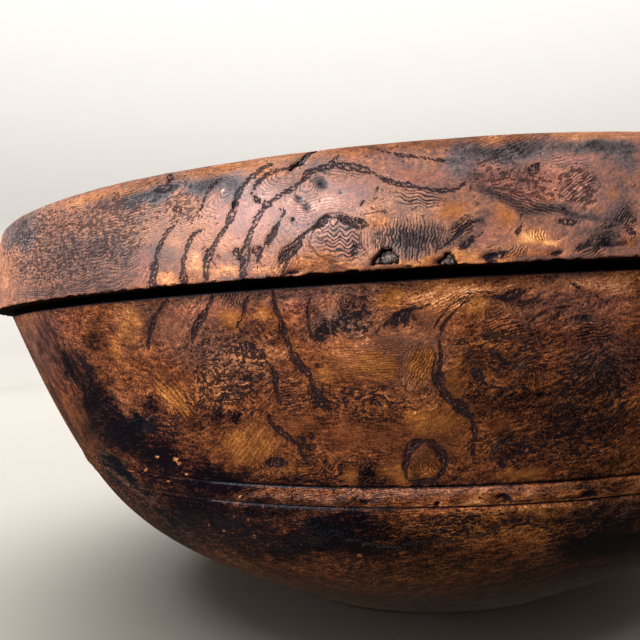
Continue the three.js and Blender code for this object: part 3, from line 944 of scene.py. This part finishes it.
class Skin(dict):
    """The turned skin's fields by name, its points, and where they are on the profile and in the photo."""

    def __init__(self):
        rows, along, normals, self.spans = profile_rows()
        self.poles = np.array([[0, 0, rows[0, 1]], [0, 0, rows[-1, 1]]])
        azimuths = column_azimuths()
        self.rings, self.columns = len(rows) - 2, len(azimuths)
        self.r, self.turn = (grid.ravel() for grid in np.meshgrid(rows[1:-1, 0], azimuths, indexing="ij"))
        self.s = self.flat(along)
        self.outward = np.column_stack([np.sin(self.turn), -np.cos(self.turn), np.zeros(len(self.turn))])
        self.points = self.outward * self.r[:, None]
        self.points[:, 2] = self.flat(rows[:, 1])
        self.normal = self.outward * self.flat(normals[:, 0])[:, None]
        self.normal[:, 2] = self.flat(normals[:, 1])
        self.at, self.scale = photo_places(self.points)
        self.outer = (self.s > self.spans["base_corner"][0]) & (self.s < self.spans["crest"][0])
        to_eye = EYE - self.points
        facing = (self.normal * to_eye).sum(1) / np.linalg.norm(to_eye, axis=1)
        x, y = self.at.T
        outside = np.maximum.reduce([-x, x - PHOTO_SIDE, VIEW_TOP - y, y - VIEW_BOTTOM])
        self.seen = smoothstep(*FACING_FADE, facing) * (1 - smoothstep(*VIEW_FADE, outside)) * self.outer

    def flat(self, values):
        return np.repeat(values[1:-1], self.columns)

    def noise(self, size, seed):
        return lattice_noise(self.points, size, seed)

    def along(self, values, *marks):
        """Values between marks, each a stretch's name and its end, 0 or 1."""
        return np.interp(self.s, [self.spans[name][end] for name, end in marks], values)

    def close(self, reach, *names):
        """From 1 on the named stretches to 0 away from them."""
        spans = [self.spans[name] for name in names]
        gaps = [np.maximum.reduce([start - self.s, self.s - end, 0 * self.s]) for start, end in spans]
        return np.exp(-np.minimum.reduce(gaps) / reach)

    def where_seen(self, there, elsewhere):
        return np.where(self.seen > 0.5, there, elsewhere)


def set_figure(skin):
    noise = skin.noise
    count = len(skin.points)
    skin.update(
        tone=0.52 + 0.24 * (noise(45, 1) + 0.5 * noise(19, 2) - 0.75),
        red=0.35 + 0.5 * (noise(38, 3) - 0.5),
        grey=0.25 * smoothstep(0.55, 0.85, noise(30, 4)),
        net=0.25 + 0.5 * (noise(24, 5) - 0.5),
        ripple=smoothstep(0.4, 0.8, noise(26, 6)) * 0.5,
        busy=skin.along([1.45, 1.15, 0.62, 0.62, 0.9],
                        ("foot", 0), ("side", 1), ("face", 0), ("crest", 1), ("rise", 1)),
        phase=LINES * (skin.points @ PHASE_WAY + 15 * noise(34, 7) + 5 * noise(13, 8)),
        lean=skin.along([0.15, 0.6], ("side", 1), ("face", 0)),
        depth=np.full(count, NO_DEPTH), along=np.zeros(count), side=np.zeros(count), ruled=np.zeros(count),
    )
    paint_generic(skin)
    paint_photo(skin)
    skin["phase"] += 3.5 * np.exp(np.minimum(skin["depth"], 0) / 1.4) * (1 - skin.pop("ruled"))
    skin["open"] = 1 - skin.seen
    # Painted light and shade: the rim is the lightest and the foot the darkest, for the collar faces the
    # light and the lower body faces down, away from it; the inside is a little darker too
    skin["tone"] += skin.along([-0.25, -0.34, -0.31, -0.26, -0.17, 0.07, 0.10, -0.10, -0.16],
                               ("base", 0), ("foot", 0), ("foot", 1), ("side", 0), ("side", 1),
                               ("face", 0), ("crest", 1), ("rise", 1), ("dish", 1))
    # Painted sheen: the collar's face, lip and crest are made greyer and redder, for the window's pale
    # reflection on them
    rim = skin.close(1, "face", "lip", "crest")
    skin["grey"] += 0.5 * rim
    skin["red"] += 0.15 * rim


def scribe_filling(skin):
    """The scribes are filled with old wax and grit at the photograph's left, and a little elsewhere."""
    return skin.where_seen(0.95 * smoothstep(*SCRIBES_FILLED, skin.at[:, 0]), 0.35 * skin.noise(26, 57))


def set_age(skin, filled):
    """Dirt and painted shade in the hollows and under the collar, and worn edges with a painted highlight on
    the ridge below the lower scribe.
    """
    close, x = skin.close, skin.at[:, 0]
    middles = [sum(skin.spans[name]) / 2 for name in ("scribe_low", "scribe_high")]
    groove = np.minimum(*(np.abs(skin.s - middle) for middle in middles))
    rough = skin.noise(5, 51)
    teeth = smoothstep(0.13, 0.38, close(1.0, "underside")) * smoothstep(0.5, 0.75, skin.noise(0.9, 58))
    # Soiling and painted shade: the quirk and the collar's underside go near black where the overhang shades
    # them, with ragged teeth along the edge and dark patches beside them; the scribes darken in their
    # depths, and the base is darker
    skin["grime_and_shade"] = np.maximum.reduce([
        close(0.4, "quirk"),
        0.9 * close(0.12, "underside"),
        0.9 * teeth,
        np.exp(-((groove / 0.42) ** 2)) * (0.8 + 0.4 * rough) * (1 - 0.7 * filled),
        0.55 * close(3, "base") * (0.5 + rough),
        0.5 * close(2.5, "quirk") * smoothstep(0.45, 0.85, rough),
        0.6 * close(1.2, "underside") * smoothstep(0.7, 0.85, skin.noise(3.2, 53)),
    ])
    bead_worn = skin.where_seen(smoothstep(*BEAD_WORN, x + 24 * rough), 0.6)
    skin["wear_and_highlight"] = np.maximum.reduce([
        close(1.5, "lip", "crest") * (0.1 + 0.5 * rough) * (1 - 0.8 * skin.seen),
        0.6 * close(0.8, "collar_foot") * smoothstep(0.35, 0.75, rough) * skin.where_seen(x < FOOT_WORN, 1),
        1.6 * close(0.2, "bead") * (0.35 + rough) * bead_worn,
        # A painted highlight: a pale line on the ridge just below the lower scribe, where its edge catches
        # the light
        1.3 * np.exp(-(((skin.s - skin.spans["foot"][1] + 1.2) / 0.9) ** 2)) * rough * (1 - filled),
        0.35 * close(1.5, "base_corner"),
        0.45 * close(8, "mouth"),
    ])


def set_relief(skin):
    """Sinks the skin a little where it is warped, worn, chipped, dented or figured."""
    noise, close = skin.noise, skin.close
    rough, grain = noise(5, 51), noise(1.5, 52)
    sink = 0.22 * noise(42, 54) + 0.10 * noise(9, 55)
    sink += close(3, "lip", "crest") * (0.22 * noise(60, 56) + 0.16 * rough)
    sink += close(1.3, "collar_foot") * (0.40 * smoothstep(0.6, 0.9, rough) + 0.30 * grain)
    sink += close(0.3, "bead") * (0.22 * smoothstep(0.5, 0.9, rough) + 0.12 * grain)
    sink += 0.22 * smoothstep(-0.1, 0.6, skin["depth"]) * (0.5 + grain)
    sink += 0.16 * np.clip(skin["net"], 0, 1) * grain
    sink *= 1 - close(0.2, "base")
    firm = skin.at + 5 * wobble(skin.points, 2.5, 61)
    for *place, deep in CHIPS:
        here, out = patch(firm, place)
        inside = (1 - smoothstep(0.45, 1.1, out)) * (skin.seen[here] > 0.5)
        sink[here] += deep * inside * (0.6 + 0.5 * grain[here])
        # Chips are painted dark: soiling and painted shade in the broken places
        skin["grime_and_shade"][here] = np.maximum(skin["grime_and_shade"][here], 0.85 * inside)
    for *place, deep in PITS:
        here, out = patch(firm, place)
        inside = (1 - smoothstep(0.1, 1.15, out)) * (skin.seen[here] > 0.5)
        sink[here] += deep * inside
        # Painted shade: darker and greyer inside each dent
        skin["tone"][here] -= 0.42 * inside
        skin["grey"][here] += 0.35 * inside
    skin.points -= skin.normal * sink[:, None]


def fill_scribes(skin, filled):
    for name, side in (("scribe_low", -1), ("scribe_high", 1)):
        start, end = skin.spans[name]
        across = np.maximum(1 - np.abs(2 * skin.s - start - end) / (end - start), 0)
        heading = body_heading(body_parameter(BEAD_HEIGHT + side * BEAD_WIDTH / 2))[0]
        rise = (filled * (SCRIBE_DEPTH * across**SCRIBE_POWER))[:, None]
        skin.points += (skin.outward * heading[1] - (0, 0, heading[0])) * rise


def bowl_skin(material):
    skin = Skin()
    set_figure(skin)
    filled = scribe_filling(skin)
    set_age(skin, filled)
    set_relief(skin)
    cut_pockets(skin)
    skin.points[:, 2] = np.clip(skin.points[:, 2], 0, HEIGHT)
    fill_scribes(skin, filled)
    faces = closed_faces(skin.rings, skin.columns)
    piece = add_mesh("burl_bowl", np.vstack([skin.points, skin.poles]), faces, material)
    for name, values in skin.items():
        layer = piece.data.attributes.new(name, "FLOAT", "POINT")
        layer.data.foreach_set("value", np.append(values, values[[0, -1]]).astype(np.float32))
    return piece


def face_radius(z):
    rows, _, _, _ = profile_rows()
    outer = rows[(rows[:, 0] > COLLAR_RADIUS - COLLAR_LEAN - LIP_OUTER_ROUND) & (rows[:, 1] > COLLAR_FOOT)]
    return np.interp(z, outer[:, 1], outer[:, 0])


def inclusion(name, spec, outline, crumbs, material):
    """A lump that fills its pocket: a crumbly front, sides on the outline and a flat back."""
    z, middle = spec["z"], outline.mean(0)
    reach = np.concatenate([np.linspace(0.06, 1, FRONT_RINGS), [1, 1, 0.5]])
    around = len(outline)
    flat = (middle + (outline - middle) * reach[:, None, None]).reshape(-1, 2)
    ring = np.repeat(np.arange(len(reach)), around)
    lumps = np.column_stack([flat, np.zeros(len(flat))]) + (spec["azimuth"] * 10, 0, 0)
    pits = lattice_noise(lumps, 1.1, 71) + 0.6 * lattice_noise(lumps, 0.5, 72)
    worn = crumbs * (pits + 0.5 * smoothstep(0.75, 1, reach[ring]))
    front = face_radius(flat[:, 1] + z) - spec["inset"] - worn
    back = COLLAR_RADIUS - spec["depth"]
    outward = np.select([ring < FRONT_RINGS, ring == FRONT_RINGS], [front, (front + back) / 2], back)
    c, s = way(spec["azimuth"])
    x, y = flat[:, 0], -outward
    points = np.column_stack([x * c - y * s, x * s + y * c, flat[:, 1] + z])
    faces = closed_faces(len(reach), around)
    if np.cross(outline[1] - middle, outline[0] - middle) <= 0:
        faces = [face[::-1] for face in faces]
    poles = [points[:around].mean(0), points[-around:].mean(0)]
    return add_mesh(name, np.vstack([points, *poles]), faces, material)


# Materials, with their colours as screen values of 0 to 255

# The wood's colours from the darkest tone to the lightest
WOOD_TONES = [(0.0, (9, 4, 5)), (0.2, (50, 25, 12)), (0.4, (91, 49, 22)),
              (0.6, (132, 75, 33)), (0.8, (176, 108, 52)), (1.0, (222, 158, 94))]
# Colours of the blots, of a rope's insides between its strands, and the near black of soiling and painted
# shade in the hollows
BLOT_COLOUR, ROPE_EDGE, DIRT_AND_SHADE_COLOUR = (22, 13, 16), (104, 76, 66), (15, 13, 21)
# Factors that make the wood redder, and its faded places bluer
RED_TINT, BLUE_TINT = (0.94, 0.75, 1.45, 1), (0.62, 0.96, 1.5, 1)
# The lines of figure, in their strands and between them on the body, and on the collar
STRAND_COLOUR, BETWEEN_STRANDS, COLLAR_ROPE = (17, 8, 11), (64, 32, 27), (22, 18, 22)
# Factors on places for the streaks of turning and wiping, which are long round the bowl and low
STREAK_SHAPE = 0.03, 0.03, 1.6
WOOD_SPECULAR = 0.07
BARK_TONES = [(0.0, (22, 16, 15)), (0.3, (50, 35, 28)), (0.55, (88, 68, 57)),
              (0.8, (126, 107, 95)), (1.0, (172, 157, 145))]
FILLER_TONES = [(0.0, (14, 12, 11)), (0.5, (50, 45, 39)), (1.0, (98, 90, 80))]
# The paper's colours from the middle outwards, each at its share of the paper's reach
PAPER_REACH = 3000.0
PAPER_TONES = [(0.08, (180, 175, 168)), (0.5, (204, 199, 193)),
               (0.76, (206, 202, 197)), (0.9, (243, 240, 236))]
PAPER_CLOUDS = 170, 165, 160


def srgb(red, green, blue):
    """A linear colour from screen values of 0 to 255."""
    screen = np.array([red, green, blue]) / 255
    linear = np.where(screen <= 0.04045, screen / 12.92, ((screen + 0.055) / 1.055) ** 2.4)
    return (*linear.tolist(), 1.0)


class Graph:
    """Builds a node material a node at a time."""

    def __init__(self, name):
        self.material = bpy.data.materials.new(name)
        self.material.use_nodes = True
        self.tree = self.material.node_tree
        self.shader = self.tree.nodes["Principled BSDF"]
        place = self.node("ShaderNodeTexCoord").outputs["Object"]
        self.place = self.vector("SCALE", {0: place, "Scale": 1 / MM}).outputs["Vector"]

    def put(self, value, socket):
        if isinstance(value, bpy.types.NodeSocket):
            self.tree.links.new(value, socket)
        else:
            socket.default_value = value

    def node(self, kind, inputs=None, **settings):
        made = self.tree.nodes.new(kind)
        for key, value in settings.items():
            setattr(made, key, value)
        for key, value in (inputs or {}).items():
            self.put(value, made.inputs[key])
        return made

    def vector(self, operation, inputs):
        return self.node("ShaderNodeVectorMath", inputs, operation=operation)

    def math(self, operation, a, b=0.0):
        return self.node("ShaderNodeMath", {0: a, 1: b}, operation=operation).outputs[0]

    def add(self, *terms):
        total = terms[0]
        for term in terms[1:]:
            total = self.math("ADD", total, term)
        return total

    def times(self, *terms):
        total = terms[0]
        for term in terms[1:]:
            total = self.math("MULTIPLY", total, term)
        return total

    def less(self, a, b):
        return self.math("SUBTRACT", a, b)

    def around(self, value, gain):
        """A noise's swing about its middle."""
        return self.times(self.less(value, 0.5), gain)

    def field(self, name):
        return self.node("ShaderNodeAttribute", attribute_name=name).outputs["Fac"]

    def noise(self, size, detail=2.0, roughness=0.55, distortion=0.0, place=None, count=None):
        """Noise in lumps of a size, drawn out along the lines where a count, if given, stays the same."""
        inputs = {"Vector": place or self.place, "Scale": 1 / size, "Detail": detail,
                  "Roughness": roughness, "Distortion": distortion}
        if count is not None:
            # The noise scales its fourth place too, so the count is scaled back
            inputs["W"] = self.times(count, size)
        dimensions = "3D" if count is None else "4D"
        return self.node("ShaderNodeTexNoise", inputs, noise_dimensions=dimensions).outputs["Fac"]

    def step(self, value, low, high):
        inputs = {"Value": value, "From Min": low, "From Max": high}
        return self.node("ShaderNodeMapRange", inputs, interpolation_type="SMOOTHSTEP").outputs["Result"]

    def mix(self, share, a, b, blend="MIX"):
        inputs = {"Factor": share, "A": a, "B": b}
        return self.node("ShaderNodeMix", inputs, data_type="RGBA", blend_type=blend).outputs["Result"]

    def ramp(self, value, tones):
        made = self.node("ShaderNodeValToRGB", {"Fac": value})
        points = made.color_ramp.elements
        while len(points) < len(tones):
            points.new(0.5)
        for point, (place, colour) in zip(points, tones):
            point.position, point.color = place, srgb(*colour)
        return made.outputs["Color"]

    def finish(self, colour, roughness, height=None):
        """The material, with relief from heights in millimetres."""
        self.put(colour, self.shader.inputs["Base Color"])
        self.put(roughness, self.shader.inputs["Roughness"])
        if height is not None:
            bump = self.node("ShaderNodeBump", {"Distance": MM, "Height": height})
            self.put(bump.outputs["Normal"], self.shader.inputs["Normal"])
        return self.material


class BurlWood(Graph):
    """The burl's material, from the skin's fields and from noises in four sizes."""

    def __init__(self):
        super().__init__("burl_wood")
        self.coarse, self.small = self.noise(6, 2), self.noise(1.9, 2, 0.6, 0.5)
        self.fine, self.hair = self.noise(0.8, 2, 0.6), self.noise(0.4, 1)
        self.waved = self.add(self.field("phase"), self.around(self.coarse, 2.4),
                              self.around(self.small, 1.0))
        self.fibre = self.noise(4.0, 3, 0.65, count=self.times(self.waved, 0.75))

    def growth_lines(self):
        """Lines that wave and break up."""
        line = self.math("SINE", self.times(self.waved, 2 * math.pi))
        return self.times(self.step(line, 0.1, 0.8), self.field("ripple"), self.step(self.fibre, 0.3, 0.5))

    def nets(self):
        """Dark clusters: blots where the noise passes a limit that the field lowers, and their halos."""
        curls = self.noise(1.7, 2, 0.65, count=self.times(self.waved, 0.8))
        mottle = self.add(curls, self.around(self.fine, 0.2), self.around(self.coarse, 0.2))
        over = self.less(mottle, self.less(0.69, self.times(self.field("net"), 0.23)))
        blots = self.step(over, 0.0, 0.04)
        return blots, self.times(self.step(over, -0.07, 0.0), self.less(1.0, blots))

    def veins(self):
        """Ropes where the photograph shows none: their depth, on the level lines of a wide noise."""
        wide, gate = self.noise(44, 3, 0.5, 0.8), self.step(self.noise(27, 1), 0.42, 0.62)
        level = self.math("ABSOLUTE", self.less(wide, 0.5))
        vein = self.times(self.less(self.times(gate, 0.022), level), 32.0)
        return self.add(vein, self.times(self.field("open"), 3.0), -3.0)

    def ropes(self):
        """Ropes of dark figure: their insides, the slanting strands in them, and the noise of these."""
        along, side, lean = self.field("along"), self.field("side"), self.field("lean")
        hatch = self.math("SINE", self.add(self.times(along, lean, 4.6), self.times(side, 4.4),
                                           self.around(self.small, 16.0)))
        edge = self.add(self.math("MAXIMUM", self.field("depth"), self.veins()), self.around(self.fine, 0.9),
                        self.around(self.small, 0.7), self.around(self.hair, 0.4), self.times(hatch, 0.16))
        inside, outline = self.step(edge, -0.06, 0.12), self.step(edge, 0.44, 0.14)
        across = self.add(self.times(along, 0.25), self.around(self.small, 0.5))
        core = self.node("ShaderNodeCombineXYZ",
                         {0: self.times(along, 0.8), 1: self.times(side, 1.5), 2: across})
        knots = self.noise(1.0, 2, 0.6, 0.4, place=core.outputs[0])
        strand = self.add(self.around(knots, 3.0), self.times(hatch, 0.45), self.times(lean, -0.95), 0.42,
                          self.times(outline, lean, self.add(1.5, self.around(self.small, 4.0))))
        return inside, self.times(inside, self.step(strand, -0.4, 0.1)), knots

    def faded(self, wood, tone):
        """The wood with its grey places, which are bluish where they are darkest. On the collar they are
        partly painted sheen, the window's pale reflection.
        """
        pale = self.node("ShaderNodeHueSaturation", {"Saturation": 0.4, "Value": 0.82, "Color": wood})
        bluish = self.mix(self.step(tone, 0.16, -0.05), pale.outputs["Color"], BLUE_TINT, "MULTIPLY")
        fading = self.add(0.4, self.times(self.step(tone, 0.75, 0.2), 0.85))
        return self.mix(self.times(self.field("grey"), fading), wood, bluish)

    def streaks(self):
        """Fine lines left by turning and wiping, all round."""
        stretched = self.vector("MULTIPLY", {0: self.place, 1: STREAK_SHAPE}).outputs["Vector"]
        return self.noise(1.0, 2, 0.7, place=stretched)


def burl_wood():
    g = BurlWood()
    lines, (blots, halo), (inside, rope, knots) = g.growth_lines(), g.nets(), g.ropes()
    busy, wear_and_highlight = g.field("busy"), g.field("wear_and_highlight")
    grain = g.add(g.around(g.fibre, 1.0), g.around(g.small, 0.3), g.around(g.fine, 0.62),
                  g.around(g.hair, 0.36))
    # Worn edges are lighter, and so is the painted highlight on the ridge below the lower scribe
    tone = g.add(g.field("tone"), g.around(g.coarse, 0.30), g.times(wear_and_highlight, 0.20), g.times(lines, -0.46),
                 g.times(busy, grain), g.times(halo, 0.10), 0.05)
    wood = g.faded(g.mix(g.field("red"), g.ramp(tone, WOOD_TONES), RED_TINT, "MULTIPLY"), tone)
    wood = g.mix(g.times(blots, g.add(g.times(busy, 0.4), 0.42)), wood, srgb(*BLOT_COLOUR))
    wood = g.mix(g.times(g.less(inside, rope), 0.4), wood, srgb(*ROPE_EDGE))
    body_rope = g.mix(g.step(knots, 0.48, 0.78), srgb(*STRAND_COLOUR), srgb(*BETWEEN_STRANDS))
    rope_colour = g.mix(g.times(g.field("lean"), 1.6), body_rope, srgb(*COLLAR_ROPE))
    wood = g.mix(g.times(rope, 0.92), wood, rope_colour)
    # Soiling and painted shade: near black in the quirk, under the collar, in the scribes, the pockets and
    # the chips
    dirt_and_shade = g.step(g.add(g.field("grime_and_shade"), g.around(g.small, 0.5), g.around(g.fine, 0.45)), 0.25, 0.75)
    wood = g.mix(g.times(dirt_and_shade, 0.94), wood, srgb(*DIRT_AND_SHADE_COLOUR))
    height = g.add(g.times(inside, -0.14), g.times(rope, -0.16), g.times(blots, -0.22),
                   g.times(lines, -0.12), g.around(g.fine, 0.05), g.around(g.hair, 0.025),
                   g.around(g.streaks(), 0.04), g.around(g.fibre, 0.08))
    roughness = g.add(0.38, g.around(g.coarse, 0.14), g.around(g.fine, 0.10), g.times(rope, 0.12),
                      g.times(blots, 0.08), g.times(dirt_and_shade, 0.35), g.times(wear_and_highlight, 0.05))
    g.shader.inputs["Specular IOR Level"].default_value = WOOD_SPECULAR
    return g.finish(wood, roughness, height)


def ingrown_bark():
    g = Graph("ingrown_bark")
    lump, crumb, dust = g.noise(1.3, 3, 0.6), g.noise(0.5, 2), g.noise(0.22, 1)
    tone = g.add(g.around(lump, 1.5), g.around(crumb, 1.3), g.around(dust, 0.5), 0.42)
    height = g.add(g.around(lump, 0.6), g.around(crumb, 0.4), g.around(dust, 0.12))
    return g.finish(g.ramp(tone, BARK_TONES), g.add(0.82, g.around(crumb, 0.2)), height)


def crack_filler():
    g = Graph("crack_filler")
    lump, dust = g.noise(0.9, 3, 0.6), g.noise(0.3, 2)
    tone = g.add(g.around(lump, 1.3), g.around(dust, 0.9), 0.42)
    height = g.add(g.around(lump, 0.4), g.around(dust, 0.15))
    return g.finish(g.ramp(tone, FILLER_TONES), g.add(0.7, g.around(dust, 0.25)), height)


def pale_paper():
    """A little darker near the middle and at the wall's foot, where most light falls, so it looks even."""
    g = Graph("pale_paper")
    away = g.vector("LENGTH", {0: g.place}).outputs["Value"]
    tint = g.ramp(g.times(away, 1 / PAPER_REACH), PAPER_TONES)
    return g.finish(g.mix(g.times(g.noise(60, 2), 0.04), tint, srgb(*PAPER_CLOUDS)), 0.9)


# Studio

FLOOR_DROP = 0.3
SWEEP_FLAT, SWEEP_BEND, SWEEP_HEIGHT = 1900.0, 600.0, 2800.0
SWEEP_SIDES = 96
# Lamps: the name, the place and the target in metres, the width and height, the power and the colour
WINDOWS = [("window_key", (-1.12, -1.30, 0.75), (0, 0, 0.13), (0.95, 0.6), 104, (0.80, 0.90, 1.0)),
           ("back_window", (1.25, 1.45, 0.85), (0, 0, 0.1), (1.2, 0.9), 34, (1.0, 0.95, 0.88))]
PAPER_LIGHTS = [("paper_light", (0, 0.1, 2.7), (0, 0, 0), (4.6, 4.6), 240, (0.98, 0.99, 1.0))]
# The air's light at the horizon and below it, and from this height on
AIR_TONES = [(0.0, (0.32, 0.27, 0.21, 1)), (0.35, (1.0, 0.87, 0.72, 1))]
AIR_STRENGTH = 0.30


def studio_sweep(material):
    """A pale round floor that bends up into a pale wall on all sides."""
    curve = arc((SWEEP_FLAT, SWEEP_BEND - FLOOR_DROP), SWEEP_BEND, -90, 0)
    line = np.vstack([[1.0, -FLOOR_DROP], curve, [SWEEP_FLAT + SWEEP_BEND, SWEEP_HEIGHT]])
    turn = np.linspace(0, 2 * math.pi, SWEEP_SIDES, endpoint=False)
    rings = [np.column_stack([r * np.cos(turn), r * np.sin(turn), np.full(SWEEP_SIDES, z)]) for r, z in line]
    faces = [face[::-1] for face in grid_faces(len(line), SWEEP_SIDES)]
    faces.append(list(range(SWEEP_SIDES)))
    sweep = add_mesh("studio_sweep", np.vstack(rings), faces, material)
    # The photographed bowl stands on a dark table, so the pale paper sends it no light from below
    sweep.visible_diffuse = sweep.visible_glossy = False
    return sweep


def soft_box(name, place, target, size, power, colour):
    """A flat lamp at a place that looks at a target, in metres."""
    data = bpy.data.lights.new(name, "AREA")
    data.shape, data.energy, data.color = "RECTANGLE", power, colour
    data.size, data.size_y = size
    back = np.array(place, float) - target
    back /= np.linalg.norm(back)
    side = np.cross([0, 0, 1], back + (0, 1e-6, 0))
    side /= np.linalg.norm(side)
    return set_in_scene(bpy.data.objects.new(name, data), [side, np.cross(back, side), back], place)


def set_air():
    world = bpy.data.worlds.new("studio_air")
    world.use_nodes = True
    air, background = world.node_tree, world.node_tree.nodes["Background"]
    heading = air.nodes.new("ShaderNodeSeparateXYZ")
    air.links.new(air.nodes.new("ShaderNodeTexCoord").outputs["Generated"], heading.inputs[0])
    horizon = air.nodes.new("ShaderNodeValToRGB")
    air.links.new(heading.outputs["Z"], horizon.inputs["Fac"])
    for point, (place, colour) in zip(horizon.color_ramp.elements, AIR_TONES):
        point.position, point.color = place, colour
    air.links.new(horizon.outputs["Color"], background.inputs["Color"])
    background.inputs["Strength"].default_value = AIR_STRENGTH
    bpy.context.scene.world = world
    bpy.context.scene.view_settings.view_transform = "Standard"


def studio():
    """The paper, the air and the lamps. The windows light the bowl's pieces, which the caller puts in the
    collection that comes back, and the lamp above lights the paper, so the paper stays even and pale."""
    set_air()
    bowl_pieces, papers = bpy.data.collections.new("bowl_pieces"), bpy.data.collections.new("papers")
    papers.objects.link(studio_sweep(pale_paper()))
    for lit, lamps in ((bowl_pieces, WINDOWS), (papers, PAPER_LIGHTS)):
        for name, *settings in lamps:
            soft_box(name, *settings).light_linking.receiver_collection = lit
    return bowl_pieces


make_camera()
bowl_pieces = studio()

bowl = bowl_skin(burl_wood())
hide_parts("bowl")
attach(bowl, "root")
bowl_pieces.objects.link(bowl)

# Each lump's name, the solid that it stands for, its slot, its place, outline, crumbs and material
bark_wood = ingrown_bark()
INCLUSIONS = [
    ("bark_chunk", "rim_bark_inclusion", "bark", BARK,
     arch_outline(BARK, 0.0) + (0.25, -0.15), 1.0, bark_wood),
    ("knot_chunk", "rim_knot_inclusion", "bark", KNOT,
     arch_outline(KNOT, 0.05), 0.8, bark_wood),
    ("crack_wax", "rim_crack_fill", "crack_filler", CRACK,
     cut_above(crack_outline(*WAX_SPAN, *WAX_SIDES), WAX_TOP), 0.5, crack_filler()),
]
for name, node, slot, spec, outline, crumbs, material in INCLUSIONS:
    lump = inclusion(name, spec, outline, crumbs, material)
    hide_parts(node)
    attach(lump, "root")
    bowl_pieces.objects.link(lump)
